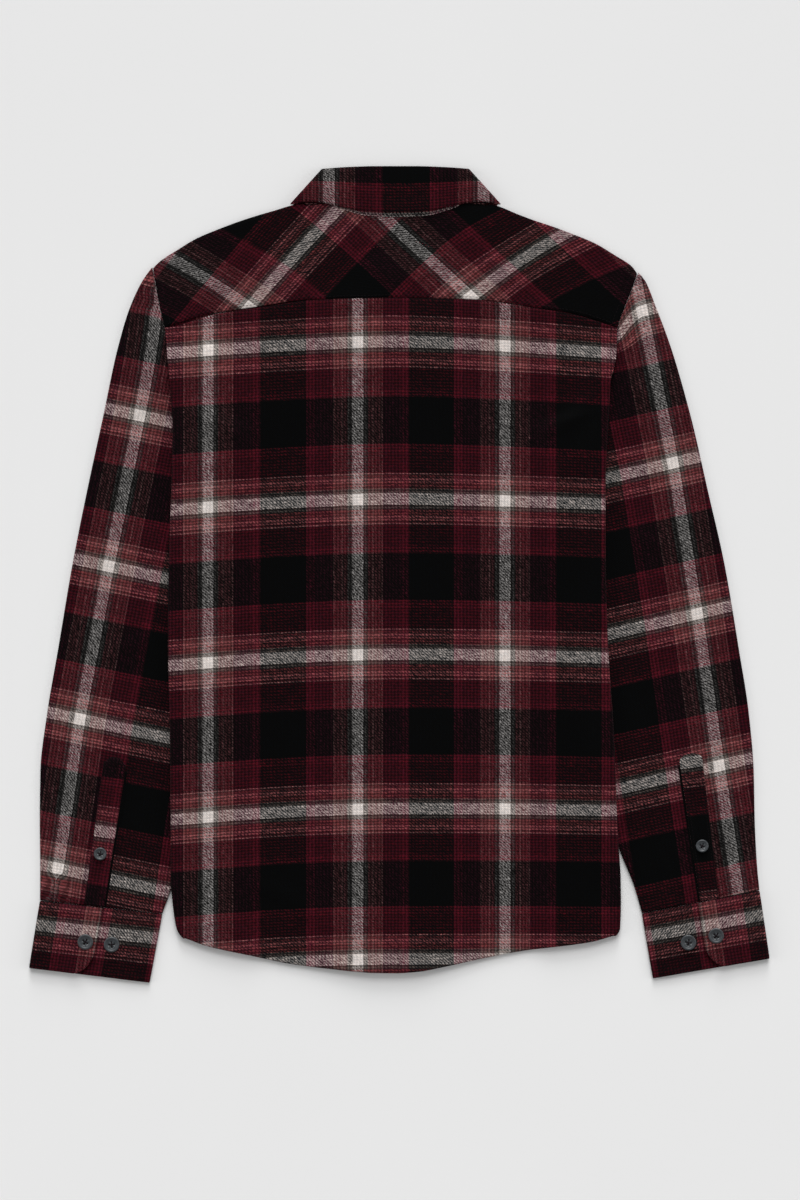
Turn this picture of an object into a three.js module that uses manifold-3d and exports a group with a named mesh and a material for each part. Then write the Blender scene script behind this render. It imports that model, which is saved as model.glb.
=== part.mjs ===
// A long-sleeved flannel shirt, laid flat on its buttoned front with its back up.
// Millimetres, +X to the right as seen from above, +Y towards the collar, +Z up.
// The origin is on the surface it lies on, under the middle of its outline.
import * as THREE from 'three';
import Module from 'manifold-3d';
import { mergeVertices } from 'three/addons/utils/BufferGeometryUtils.js';

const wasm = await Module();
wasm.setup();

// Cloth
const CLOTH = 1.1;                      // wall of one layer of napped flannel
const SEAM = 0.3;                       // gap between pieces and between layers
const LAYER = CLOTH + SEAM;             // from one layer to the next
const FOLD_RADIUS = LAYER / 2;          // of a layer folded flat onto itself
const CUFF_CLOTH = 1.4;                 // two layers and interlining
const CUFF_LAYER = CUFF_CLOTH + SEAM;

// Body
const CENTRE_X = -3;                    // centre back and centre front
const FRONT_HEM_SHORTER = 4;
const FLAP = 50;                        // body width folded under at each side
const FLAP_RADIUS = 1.5 * LAYER;        // two folded layers, back round front
const FLAP_RISE = 2 * LAYER;            // front panel over its own folded sides
const FLAP_HEM_RISE = 14;               // hem along the part folded under
const FOLD_GAP = 0.15;                  // more room between the two folded layers
const SLEEVE_RISE = 3.2;                // body over a flattened sleeve
const ROLL_FROM_Y = 190;                // side fold starts below the armhole seam
const ROLL_TO_Y = 167;
const FLAP_TO_Y = 142;                  // underarm, where the fold is full width
const LIFT_FROM_Y = 243;
const LIFT_TO_Y = 192;

// Neck and yoke
const NECK_HALF = 89;                   // neck point to centre
const NECK_Y = 362;                     // neck points
const SHOULDER_HALF = 237;              // armhole to centre along the shoulder
const BACK_HALF = 218;                  // armhole to centre along the yoke seam
const BACK_NECK_RISE = 4;
const FRONT_NECK_Y = 288;               // neckline at centre front
const YOKE_WRAP = 25;                   // yoke past the shoulder fold, to the front
const NECK_LIFT = 2.4;                  // neck over the collar wings and button
const SHOULDER_DROP = 5;                // right shoulder below the left one

// Placket and buttons
const PLACKET_HALF = 16;
const BUTTON_LIFT = 2.6;                // placket over the front buttons
const BUTTON_THICK = 2.1;
const FRONT_BUTTON = 12.5;              // diameters
const CUFF_BUTTON = 15.2;
const BUTTON_Y = [254, 168, 82, -4, -90, -176];
const COLLAR_BUTTON_Y = 298;

// Folded side edges and armhole seams of the body, from hem to shoulder
const BODY_EDGES = [
  { y: -357, left: -209, right: 209 },
  { y: -345, left: -217, right: 216.5 },
  { y: -322, left: -220.4, right: 217.2 },
  { y: -298, left: -222.3, right: 216.9 },
  { y: -250, left: -222.3, right: 213.8 },
  { y: -207, left: -222.6, right: 212.2 },
  { y: -150, left: -223.2, right: 209.9 },
  { y: -86, left: -224.8, right: 205.5 },
  { y: -40, left: -225, right: 203.4 },
  { y: 20, left: -223.9, right: 202.2 },
  { y: 90, left: -221.6, right: 202 },
  { y: 142, left: -220.4, right: 204.4 },
  { y: 190, left: -223.9, right: 207.5 },
  { y: 212, left: -225.9, right: 212.6 },
  { y: 243, left: -229, right: 214.7 },
  { y: 263, left: -233.6, right: 221.5 },
  { y: 284, left: -237.4, right: 229.6 },
  { y: 302, left: -240.6, right: 236 },
];

// Hem by share of the way to the side, left (-1) to right (1)
const HEM = [
  { share: -1, y: -355 },
  { share: -0.9, y: -362.5 },
  { share: -0.7, y: -371.5 },
  { share: -0.5, y: -380.3 },
  { share: -0.3, y: -385.3 },
  { share: -0.1, y: -388.8 },
  { share: 0, y: -389 },
  { share: 0.1, y: -387.8 },
  { share: 0.2, y: -384 },
  { share: 0.4, y: -375 },
  { share: 0.6, y: -367 },
  { share: 0.8, y: -361.7 },
  { share: 0.9, y: -358.5 },
  { share: 1, y: -352.5 },
];

// Shoulder fold, by share of the way from the centre to the armhole
const SHOULDER = [
  { share: 0.3, y: 364 },
  { share: 0.4, y: 362.8 },
  { share: 0.5, y: 356.5 },
  { share: 0.62, y: 348 },
  { share: 0.73, y: 338.5 },
  { share: 0.82, y: 329.5 },
  { share: 0.9, y: 318 },
  { share: 0.96, y: 309 },
  { share: 1, y: 300.5 },
];

// Seam between the yoke and the back
const YOKE_SEAM = [
  { share: 0, y: 272 },
  { share: 0.35, y: 270 },
  { share: 0.62, y: 262 },
  { share: 0.8, y: 256 },
  { share: 1, y: 243 },
];

// Sleeves from cuff to armhole: outer fold, inner fold, and how far the section
// follows the armhole curve instead of a straight line
const SLEEVES = [
  { outerY: -283, innerY: -304, leftOuter: -350.4, leftInner: -222.4, rightOuter: 350.6, rightInner: 231.4, curve: 0 },
  { outerY: -240, innerY: -265, leftOuter: -350.8, leftInner: -214.1, rightOuter: 348.4, rightInner: 216, curve: 0 },
  { outerY: -191, innerY: -217, leftOuter: -350.2, leftInner: -207.3, rightOuter: 347.4, rightInner: 203.5, curve: 0 },
  { outerY: -134, innerY: -161, leftOuter: -343.5, leftInner: -199.4, rightOuter: 342.5, rightInner: 194.5, curve: 0 },
  { outerY: -71, innerY: -99, leftOuter: -332.7, leftInner: -192.6, rightOuter: 332.7, rightInner: 185.7, curve: 0 },
  { outerY: 10, innerY: -21, leftOuter: -319, leftInner: -184.7, rightOuter: 319, rightInner: 174.9, curve: 0 },
  { outerY: 84, innerY: 54, leftOuter: -304.3, leftInner: -177.9, rightOuter: 302.3, rightInner: 166.1, curve: 0.03 },
  { outerY: 152, innerY: 104, leftOuter: -289.6, leftInner: -174.6, rightOuter: 286.7, rightInner: 158.8, curve: 0.18 },
  { outerY: 221, innerY: 127, leftOuter: -274.9, leftInner: -173, rightOuter: 267.1, rightInner: 155.6, curve: 0.55 },
  { outerY: 261, innerY: 134, leftOuter: -263.1, leftInner: -172.4, rightOuter: 252.4, rightInner: 154.8, curve: 0.84 },
  { outerY: 288, innerY: 138, leftOuter: -250.6, leftInner: -172, rightOuter: 241.4, rightInner: 154.6, curve: 0.95 },
  { outerY: 301.4, innerY: 140.6, leftOuter: -241.2, leftInner: -172, rightOuter: 234.9, rightInner: 154.4, curve: 1 },
];

// Cuffs, by their corners: o for outer, i for inner
const CUFFS = {
  left: { topO: [-350.6, -318.8], topI: [-232, -331.6], endO: [-361.2, -384.2], endI: [-244.4, -398.6] },
  right: { topO: [353, -308.8], topI: [239, -331.2], endO: [362.8, -375], endI: [249.8, -394.4] },
};
const CUFF_FLAP_END = 61;               // upper end, across from the outer fold
const CUFF_FLAP_CORNER = 20;            // rounded off at its lower corner
const CUFF_UNDER_END = 44;              // lower end, under the upper one

// Sleeve plackets: a strip from the cuff seam up to a clipped peak
const SLEEVE_PLACKETS = {
  left: { from: [-298, -323], to: [-277.6, -184], halfFrom: 9.4, halfTo: 11, peak: 6 },
  right: { from: [304.4, -317.2], to: [286.4, -181], halfFrom: 9, halfTo: 11, peak: 6 },
};
const CUFF_BUTTONS = {
  left: [[-306.3, -358.4], [-280.8, -361.2]],
  right: [[310.7, -352.4], [283.7, -359.2]],
};
const SLEEVE_BUTTONS = { left: [-291.8, -272.4], right: [297.1, -264.6] };

// Collar: half rings of roll line, leaf edge and neck seam, from centre back round
// the left (-1) or right (1) side of the neck to centre front
const COLLAR_BACK = [
  { way: 0, rollY: 400, leafY: 354.3 },
  { way: 0.3, rollY: 400, leafY: 355.4 },
  { way: 0.52, rollY: 399.6, leafY: 360.2 },
  { way: 0.72, rollY: 399, leafY: 364.6 },
  { way: 0.86, rollY: 398.4, leafY: 365.6 },
  { way: 1, rollY: 397.6, leafY: 363.4 },
];
const ROLL_HALF = 69;                   // ends of the roll line across the back
const LEAF_HALF = 100;                  // ends of the leaf edge across the back
const ROLL_FRONT = [5, 318];            // where the roll ends, beside centre front
const COLLAR_POINT = [60, 288];
const STAND_FRONT_Y = 309;              // top of the stand at centre front
const COLLAR_Z = NECK_LIFT + 0.5 * CLOTH + FOLD_RADIUS;
const LEAF_RADIUS = 3 * FOLD_RADIUS;
const LIP = 0.5;                        // leaf past its roll, where the stand joins it

const CLOTH_COLOUR = 0x4a1a22;
const DARK_COLOUR = 0x2c1418;
const BUTTON_COLOUR = 0x3b4144;

const clamp01 = (value) => Math.min(1, Math.max(0, value));
const mix = (a, b, share) => a + (b - a) * share;
const mixPoint = (a, b, share) => a.map((value, axis) => mix(value, b[axis], share));

// 0 at from, 1 at to, level at both ends
function ease(value, from, to) {
  const share = clamp01((value - from) / (to - from));
  return share * share * (3 - 2 * share);
}

// A column of a table at a place between its rows, which rise by the key column
function lookUp(table, key, at, column) {
  const last = table.length - 1;
  let row = 0;
  while (row < last - 1 && at > table[row + 1][key]) row += 1;
  const share = clamp01((at - table[row][key]) / (table[row + 1][key] - table[row][key]));
  return mix(table[row][column], table[row + 1][column], share);
}

// A closed solid from vertices and triangles, turned so that its faces point out
function solid(points, triangles) {
  let volume = 0;
  for (const [a, b, c] of triangles) {
    const [p, q, r] = [points[a], points[b], points[c]];
    volume += p[0] * (q[1] * r[2] - q[2] * r[1])
      - p[1] * (q[0] * r[2] - q[2] * r[0])
      + p[2] * (q[0] * r[1] - q[1] * r[0]);
  }
  const index = triangles.flatMap(([a, b, c]) => (volume > 0 ? [a, b, c] : [a, c, b]));
  const geometry = new THREE.BufferGeometry();
  geometry.setAttribute('position', new THREE.Float32BufferAttribute(points.flat(), 3));
  geometry.setIndex(index);
  geometry.computeVertexNormals();
  return geometry;
}

// A wall of even thickness about a grid of middle points. A ring closes on itself.
function wall(grid, thickness, ring = false) {
  const rows = grid.length;
  const columns = grid[0].length;
  const last = (column) => (ring ? (column + columns) % columns : Math.max(0, Math.min(columns - 1, column)));
  const points = [];
  for (const side of [1, -1]) {
    for (let row = 0; row < rows; row += 1) {
      for (let column = 0; column < columns; column += 1) {
        const across = new THREE.Vector3(...grid[row][last(column + 1)])
          .sub(new THREE.Vector3(...grid[row][last(column - 1)]));
        const along = new THREE.Vector3(...grid[Math.min(rows - 1, row + 1)][column])
          .sub(new THREE.Vector3(...grid[Math.max(0, row - 1)][column]));
        const normal = across.cross(along).normalize().multiplyScalar(0.5 * side * thickness);
        points.push(grid[row][column].map((value, axis) => value + normal.getComponent(axis)));
      }
    }
  }
  const at = (row, column, side) => (side * rows + row) * columns + last(column);
  const triangles = [];
  const quad = (a, b, c, d) => triangles.push([a, b, c], [a, c, d]);
  const spans = ring ? columns : columns - 1;
  for (let row = 0; row < rows - 1; row += 1) {
    for (let column = 0; column < spans; column += 1) {
      quad(at(row, column, 0), at(row, column + 1, 0), at(row + 1, column + 1, 0), at(row + 1, column, 0));
      quad(at(row, column, 1), at(row + 1, column, 1), at(row + 1, column + 1, 1), at(row, column + 1, 1));
    }
    if (!ring) {
      quad(at(row, 0, 1), at(row, 0, 0), at(row + 1, 0, 0), at(row + 1, 0, 1));
      quad(at(row, spans, 0), at(row, spans, 1), at(row + 1, spans, 1), at(row + 1, spans, 0));
    }
  }
  for (let column = 0; column < spans; column += 1) {
    quad(at(0, column, 1), at(0, column + 1, 1), at(0, column + 1, 0), at(0, column, 0));
    quad(at(rows - 1, column, 0), at(rows - 1, column + 1, 0), at(rows - 1, column + 1, 1), at(rows - 1, column, 1));
  }
  return solid(points, triangles);
}

// Heights of the laid layers

const bodyEdge = (y, side) => lookUp(BODY_EDGES, 'y', y, side < 0 ? 'left' : 'right');

function sleeveInner(y, side) {
  return lookUp(SLEEVES, 'innerY', y, side < 0 ? 'leftInner' : 'rightInner');
}

// How far the folded side and the sleeve under it raise the body
function sideRise(x, y) {
  const side = x < CENTRE_X ? -1 : 1;
  const inward = (bodyEdge(y, side) - x) * side;
  const lift = 1 - ease(y, LIFT_TO_Y, LIFT_FROM_Y);
  const flap = flapLength(y);
  const overFlap = FLAP_RISE * (1 - ease(inward, flap + 4, flap + 36));
  const pastSleeve = (sleeveInner(Math.min(y, FLAP_TO_Y), side) - x) * side;
  const below = ease(y, -345, -306);
  const overSleeve = SLEEVE_RISE * below * (1 - ease(pastSleeve, 3, 40));
  return { overFlap: lift * overFlap, overSleeve: lift * overSleeve };
}

function flapLength(y) {
  return 0.6 + (FLAP - 0.6) * (1 - ease(y, FLAP_TO_Y, ROLL_TO_Y));
}

// How far the collar wings and the front buttons raise the body
function middleRise(x, y) {
  const fromCentre = Math.abs(x - CENTRE_X);
  const neck = NECK_LIFT * (1 - ease(fromCentre, 116, 200)) * ease(y, 196, 260);
  const buttons = BUTTON_LIFT * (1 - ease(fromCentre, 20, 56)) * (1 - ease(y, 222, 262));
  return neck + buttons;
}

// How far the right front, on the placket, raises itself and the back
const overlapRise = (x, y) => LAYER * (1 - ease(Math.abs(x - CENTRE_X), 18, 44)) * (1 - ease(y, 292, 320));

function frontHeight(x, y) {
  const { overFlap, overSleeve } = sideRise(x, y);
  return 0.5 * CLOTH + overFlap + overSleeve + middleRise(x, y);
}

const backHeight = (x, y) => frontHeight(x, y) + LAYER + overlapRise(x, y);

// Body panels

// Rows of the body, by height at its side: close together round the underarm
const BODY_ROWS = [-352, -340, -322, -305, -260, -200, -130, -60, 10, 75, 120, 142, 154, 167, 178, 190, 212, 243];
const SHOULDER_LEVEL = 300.5;
const UPPER_ROWS = [263, 284, SHOULDER_LEVEL];
// Columns by share of the way from the centre to the side
const SHARES = [0.08, 0.18, 0.3, 0.42, 0.52, 0.6, 0.68, 0.76, 0.84, 0.92, 1];

const hemY = (share) => lookUp(HEM, 'share', share, 'y');
const seamY = (share) => lookUp(YOKE_SEAM, 'share', Math.abs(share), 'y');
const shoulderDrop = (share) => (share > 0 ? SHOULDER_DROP * ease(share, 0.34, 0.6) : 0);
const shoulderY = (share) => lookUp(SHOULDER, 'share', Math.abs(share), 'y') - shoulderDrop(share);

// A row's height at a share of the width: the hem and the seams bend, the rows
// between them less and less
function rowY(level, share) {
  const first = BODY_ROWS[0];
  const top = BODY_ROWS[BODY_ROWS.length - 1];
  return mix(hemY(share), seamY(share), (level - first) / (top - first));
}

// Length of a roll through an angle, never too short to mesh
const rollArc = (radius, angle) => Math.max(radius * angle, 0.9);

// How far a roll and the flat part after it reach past where they start
function rollReach(radius, angle, after) {
  const arc = rollArc(radius, angle);
  const bend = angle > 0.01 ? arc / angle : 0;
  if (angle > Math.PI / 2) return bend;
  return (angle > 0.01 ? bend * Math.sin(angle) : arc) + after * Math.cos(angle);
}

// A half section at one height: flat shares, then the fold, then the part under it.
// depth is 0 for the outer wall (the back) and 1 for the inner one (the front).
function foldedEdge(level, side, depth, height) {
  const y = rowY(level, side);
  const angle = Math.PI * (1 - ease(y, ROLL_TO_Y, ROLL_FROM_Y));
  const flap = flapLength(y);
  const start = bodyEdge(y, side) - side * (rollReach(FLAP_RADIUS, angle, flap) + FOLD_GAP * depth);
  const arc = rollArc(FLAP_RADIUS - depth * LAYER, angle);
  const bend = angle > 0.01 ? arc / angle : 0;
  const top = height(start, y);
  const points = [];
  const steps = 4;
  for (let step = 1; step <= steps; step += 1) {
    const turned = (angle * step) / steps;
    const out = angle > 0.01 ? bend * Math.sin(turned) : (arc * step) / steps;
    const down = angle > 0.01 ? bend * (1 - Math.cos(turned)) : 0;
    points.push([start + side * out, y, top - down]);
  }
  const [endX, , endZ] = points[points.length - 1];
  for (const share of [0.5, 1]) {
    const x = endX + side * Math.cos(angle) * flap * share;
    const settle = sideRise(x, y).overSleeve - sideRise(endX, y).overSleeve;
    const z = endZ - Math.sin(angle) * flap * share + (angle > 3 ? settle : 0);
    points.push([x, y + hemLift(level, share), z]);
  }
  return { start, points };
}

// The hem goes on rising along the part that is folded under
const hemLift = (level, share) => FLAP_HEM_RISE * share * (1 - ease(level, BODY_ROWS[0], BODY_ROWS[3]));

function bodyHalfRow(level, side, depth, height, shares) {
  const edge = foldedEdge(level, side, depth, height);
  const flat = shares.map((share) => {
    const y = rowY(level, side * share);
    const x = mix(CENTRE_X, edge.start, share);
    return [x, y, height(x, y)];
  });
  return [...flat, ...edge.points];
}

function makeBack() {
  const rows = BODY_ROWS.map((level) => {
    const left = bodyHalfRow(level, -1, 0, backHeight, SHARES).reverse();
    const right = bodyHalfRow(level, 1, 0, backHeight, SHARES);
    const y = rowY(level, 0);
    const middle = [CENTRE_X, y, backHeight(CENTRE_X, y)];
    return [...left, middle, ...right].map(([px, py, pz]) => [px, Math.min(py, seamLimit(px) - SEAM), pz]);
  });
  return wall(rows, CLOTH);
}

// The top edge of the back keeps below the yoke
const seamLimit = (x) => seamY(clamp01(Math.abs(x - CENTRE_X) / BACK_HALF));

// Shares of the front, from its edge at the centre to the armhole
function makeFront(side) {
  const height = side > 0 ? (x, y) => frontHeight(x, y) + overlapRise(x, y) : frontHeight;
  const centreEdge = side > 0 ? CENTRE_X - PLACKET_HALF : CENTRE_X - PLACKET_HALF - SEAM;
  const centreColumns = side > 0 ? [centreEdge, CENTRE_X] : [centreEdge];
  const shares = side > 0 ? SHARES : SHARES.slice(1);
  const levels = [...BODY_ROWS, ...UPPER_ROWS];
  const rows = levels.map((level) => {
    const upper = level > BODY_ROWS[BODY_ROWS.length - 1];
    const row = upper ? upperFrontRow(level, side, height, shares) : bodyHalfRow(level, side, 1, height, shares);
    const y = upper ? frontTop(level, 0) : rowY(level, 0);
    const middle = centreColumns.map((x) => [x, y, height(x, y)]);
    const shorter = level === BODY_ROWS[0] ? FRONT_HEM_SHORTER : 0;
    const points = [...middle, ...row].map(([px, py, pz]) => [px, py + shorter, pz]);
    return side < 0 ? points.reverse() : points;
  });
  return wall(rows, CLOTH);
}

// Above the yoke seam's level the rows fan out to the neckline and shoulder seam
function frontTop(level, share) {
  const bottom = seamY(share);
  const top = frontEdgeY(share);
  const rise = (level - BODY_ROWS[BODY_ROWS.length - 1]) / (SHOULDER_LEVEL - BODY_ROWS[BODY_ROWS.length - 1]);
  return mix(bottom, top, rise);
}

function frontEdgeY(share) {
  const neckShare = NECK_HALF / SHOULDER_HALF;
  if (Math.abs(share) < neckShare) {
    return FRONT_NECK_Y - SEAM + (NECK_Y - 12 - FRONT_NECK_Y) * (Math.abs(share) / neckShare) ** 2.4;
  }
  return shoulderY(share) - FOLD_RADIUS - wrapLength(share) - SEAM;
}

function upperFrontRow(level, side, height, shares) {
  const sideY = frontTop(level, side);
  const edge = bodyEdge(sideY, side);
  const margin = 1.5;
  const columns = shares.map((share) => {
    const y = frontTop(level, side * share);
    const x = mix(CENTRE_X, edge - side * margin, share);
    return [x, y, height(x, y)];
  });
  const marginColumns = 6;
  for (let step = marginColumns - 1; step >= 0; step -= 1) {
    const x = edge - (side * margin * step) / marginColumns;
    columns.push([x, sideY, height(x, sideY)]);
  }
  return columns;
}

// Yoke: its back layer, the roll over the shoulder, and the strip on the front

function wrapLength(share) {
  return 0.4 + (YOKE_WRAP - 0.4) * ease(Math.abs(share), 0.42, 0.56);
}

function yokeTop(share) {
  const neckShare = NECK_HALF / SHOULDER_HALF;
  const along = Math.abs(share) / neckShare;
  return along < 1 ? NECK_Y + BACK_NECK_RISE * (1 - along * along) : shoulderY(share);
}

function makeYoke() {
  const half = [0.08, 0.18, 0.3, 0.355, 0.38, 0.4, 0.42, 0.46, 0.52, 0.6, 0.68, 0.76, 0.84, 0.92, 0.97, 1];
  const shares = [...half.slice().reverse().map((share) => -share), 0, ...half];
  const columns = shares.map((share) => {
    const side = share < 0 ? -1 : 1;
    const size = Math.abs(share);
    const angle = Math.PI * ease(size, 0.36, 0.42);
    const arc = rollArc(FOLD_RADIUS, angle);
    const bend = angle > 0.01 ? arc / angle : 0;
    const wrap = wrapLength(share);
    const end = yokeTop(share) - rollReach(FOLD_RADIUS, angle, wrap);
    const from = seamY(share);
    const xAt = (y) => mix(CENTRE_X, bodyEdge(Math.max(y, from), side), size);
    const points = [0, 0.34, 0.68, 1].map((way) => {
      const y = mix(from, end, way);
      return [xAt(y), y, backHeight(xAt(y), y)];
    });
    const x = xAt(end);
    const top = backHeight(x, end);
    for (let step = 1; step <= 3; step += 1) {
      const turned = (angle * step) / 3;
      const out = angle > 0.01 ? bend * Math.sin(turned) : (arc * step) / 3;
      const down = angle > 0.01 ? bend * (1 - Math.cos(turned)) : 0;
      points.push([x, end + out, top - down]);
    }
    const [, lastY] = points[points.length - 1];
    for (const way of [0.5, 1]) {
      const y = lastY + Math.cos(angle) * wrap * way;
      const flat = frontHeight(xAt(y), y);
      const slanted = points[6][2] - Math.sin(angle) * wrap * way;
      points.push([xAt(y), y, angle > 3 ? flat : slanted]);
    }
    return points;
  });
  const rows = columns[0].map((unused, row) => columns.map((column) => column[row]));
  return wall(rows, CLOTH);
}

function makePlacket() {
  const rows = [...BODY_ROWS, 262, 284].map((level, index) => {
    const top = index >= BODY_ROWS.length;
    const y = top ? mix(seamY(0), FRONT_NECK_Y - SEAM, index - BODY_ROWS.length === 0 ? 0.5 : 1) : rowY(level, 0);
    const shorter = index === 0 ? FRONT_HEM_SHORTER : 0;
    return [-PLACKET_HALF, 0, PLACKET_HALF].map((across) => {
      const x = CENTRE_X + across;
      return [x, y + shorter, frontHeight(x, y)];
    });
  });
  return wall(rows, CLOTH);
}

// Sleeves: flattened tubes, open at the armhole and at the cuff

const SLEEVE_STEPS = 8;
const ARMHOLE_TOP_Y = 301.4;
const UNDERARM_X = { left: -172, right: 154.4 };

// The armhole curve: along the body's edge, then under the body to the underarm
function armhole(side) {
  const seen = [ARMHOLE_TOP_Y - shoulderDrop(side), 284, 263, 243, 212, 191.5];
  const curve = seen.map((y) => [bodyEdge(y, side) + side * 0.5 * LAYER, y]);
  const from = curve[curve.length - 1];
  const to = [side < 0 ? UNDERARM_X.left : UNDERARM_X.right, FLAP_TO_Y - LAYER];
  const bend = [from[0] - side * 1, 158];
  for (const way of [0.33, 0.66, 1]) {
    curve.push(mixPoint(mixPoint(from, bend, way), mixPoint(bend, to, way), way));
  }
  return curve;
}

function makeSleeve(side) {
  const outerColumn = side < 0 ? 'leftOuter' : 'rightOuter';
  const innerColumn = side < 0 ? 'leftInner' : 'rightInner';
  const curve = armhole(side);
  const cuff = CUFFS[side < 0 ? 'left' : 'right'];
  const sections = SLEEVES.map((row) => ({
    outer: [row[outerColumn], row.outerY - (row.outerY === ARMHOLE_TOP_Y ? shoulderDrop(side) : 0)],
    inner: [row[innerColumn], row.innerY],
    curve: row.curve,
  }));
  const clear = ([x, y]) => [x, y + 2 * SEAM];
  const end = { outer: clear(cuff.topO), inner: clear(cuff.topI), curve: 0 };
  const rows = [end, ...sections].map((section) => {
    const { outer, inner } = section;
    const line = curve.map((point, step) => {
      const way = step / SLEEVE_STEPS;
      const chord = mixPoint(outer, inner, way);
      const last = mixPoint(curve[0], curve[SLEEVE_STEPS], way);
      return chord.map((value, axis) => value + section.curve * (point[axis] - last[axis]));
    });
    return flatRing(line, CLOTH);
  });
  return wall(rows, CLOTH, true);
}

// A closed section lying on the floor: out along a line and back above it
function flatRing(line, thickness) {
  const radius = (thickness + SEAM) / 2;
  const low = thickness / 2;
  const count = line.length;
  const insetEnd = (from, towards) => {
    const length = Math.hypot(towards[0] - from[0], towards[1] - from[1]);
    return mixPoint(from, towards, radius / length);
  };
  const flat = line.map((point, step) => {
    if (step === 0) return insetEnd(point, line[1]);
    if (step === count - 1) return insetEnd(point, line[count - 2]);
    return point;
  });
  const bottom = flat.map(([x, y]) => [x, y, low]);
  const top = flat.map(([x, y]) => [x, y, low + 2 * radius]).reverse();
  return [...bottom, [...line[count - 1], low + radius], ...top, [...line[0], low + radius]];
}

// Cuffs: a band whose ends overlap on the upper side, the outer end on top

function makeCuff(corners) {
  const width = Math.hypot(corners.topI[0] - corners.topO[0], corners.topI[1] - corners.topO[1]);
  const place = (across, down) => mixPoint(
    mixPoint(corners.topO, corners.topI, across / width),
    mixPoint(corners.endO, corners.endI, across / width),
    down,
  );
  const low = CUFF_CLOTH / 2;
  const inner = CUFF_LAYER / 2;
  const outer = CUFF_LAYER;
  const downs = [0, 0.3, 0.62, 0.76, 0.86, 0.94, 0.985, 1];
  const rows = downs.map((down) => {
    const past = clamp01((down - 0.62) / 0.38);
    const end = CUFF_FLAP_END - CUFF_FLAP_CORNER * (1 - Math.sqrt(1 - past * past * 0.98));
    const band = [];
    for (const across of [CUFF_UNDER_END, 80, width - inner]) band.push([across, low + CUFF_LAYER]);
    for (const turn of [0.33, 0.67]) {
      band.push([width - inner + inner * Math.sin(Math.PI * turn), low + inner + inner * Math.cos(Math.PI * turn)]);
    }
    for (const across of [width - inner, 80, 40, outer]) band.push([across, low]);
    for (const turn of [0.25, 0.5, 0.75]) {
      band.push([outer - outer * Math.sin(Math.PI * turn), low + outer - outer * Math.cos(Math.PI * turn)]);
    }
    for (const share of [0, 0.4, 0.75, 1]) band.push([mix(outer, end, share), low + 2 * CUFF_LAYER]);
    return band.map(([across, z]) => [...place(across, down), z]);
  });
  return wall(rows, CUFF_CLOTH);
}

function makeSleevePlacket({ from, to, halfFrom, halfTo, peak }) {
  const length = Math.hypot(to[0] - from[0], to[1] - from[1]);
  const along = [(to[0] - from[0]) / length, (to[1] - from[1]) / length];
  const height = 0.5 * CLOTH + 2 * LAYER;
  const rows = [0, 0.25, 0.5, 0.75, 1].map((way) => [-1, -0.45, 0.45, 1].map((across) => {
    const half = mix(halfFrom, halfTo, way) * across;
    const point = mixPoint(from, to, way);
    const tip = way === 1 && Math.abs(across) < 1 ? peak : 0;
    return [point[0] + along[1] * half + along[0] * tip, point[1] - along[0] * half + along[1] * tip, height];
  }));
  return wall(rows, CLOTH);
}

// Collar: a stand round the neck and a leaf folded down over it

const FRONT_WAYS = [0.12, 0.3, 0.5, 0.7, 0.86, 1];
const TURNS = [0.25, 0.5, 0.75];

// Stations of the flattened collar ring on one side, from centre back to centre
// front: the roll line, the leaf's edge, the neck seam and the turn round the side
function collarStations(side) {
  const neckPoint = [NECK_HALF, NECK_Y];
  const stations = COLLAR_BACK.map(({ way, rollY, leafY }) => ({
    turn: 0,
    roll: [ROLL_HALF * way, rollY],
    leaf: [LEAF_HALF * way, leafY],
    neck: [NECK_HALF * way, NECK_Y + BACK_NECK_RISE * (1 - way * way)],
  }));
  const corner = stations[stations.length - 1];
  corner.neck = [NECK_HALF, NECK_Y + 1.8];
  for (const turn of TURNS) stations.push({ ...corner, turn });
  stations.push({ ...corner, turn: 1 });
  for (const way of FRONT_WAYS) {
    const sag = Math.sin(Math.PI * way);
    stations.push({
      turn: 1,
      roll: [mix(ROLL_HALF, ROLL_FRONT[0], way) + 6 * sag, mix(corner.roll[1], ROLL_FRONT[1], way) - 8 * sag],
      leaf: [mix(LEAF_HALF, COLLAR_POINT[0], way) + 3 * sag, mix(corner.leaf[1], COLLAR_POINT[1], way)],
      neck: [way === 1 ? 0 : mix(neckPoint[0], 0, way) + 8 * sag, mix(NECK_Y, FRONT_NECK_Y, way ** 0.8) - 4 * sag],
    });
  }
  return stations.map(({ turn, roll, leaf, neck }) => {
    const place = ([x, y], radius) => [
      CENTRE_X + side * (x + (1.5 * radius - 0.5 * FOLD_RADIUS) * Math.sin(Math.PI * turn)),
      y,
      COLLAR_Z + radius * Math.cos(Math.PI * turn),
    ];
    return { roll, leaf, neck, place };
  });
}

// The leaf starts at the stand, rolls over and lies down outside
function leafColumn({ roll, leaf, place }) {
  const stand = FOLD_RADIUS;
  const middle = (stand + LEAF_RADIUS) / 2;
  const swing = (LEAF_RADIUS - stand) / 2;
  const length = Math.hypot(leaf[0] - roll[0], leaf[1] - roll[1]);
  const at = (way) => mixPoint(roll, leaf, way / length);
  const column = [place(at(swing + LIP), stand)];
  for (const turned of [0, 0.25, 0.5, 0.75, 1]) {
    const rise = swing - swing * Math.sin(Math.PI * turned);
    column.push(place(at(rise), middle - swing * Math.cos(Math.PI * turned)));
  }
  for (const way of [0.35, 0.7, 1]) column.push(place(at(length * way), LEAF_RADIUS));
  return column;
}

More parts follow.
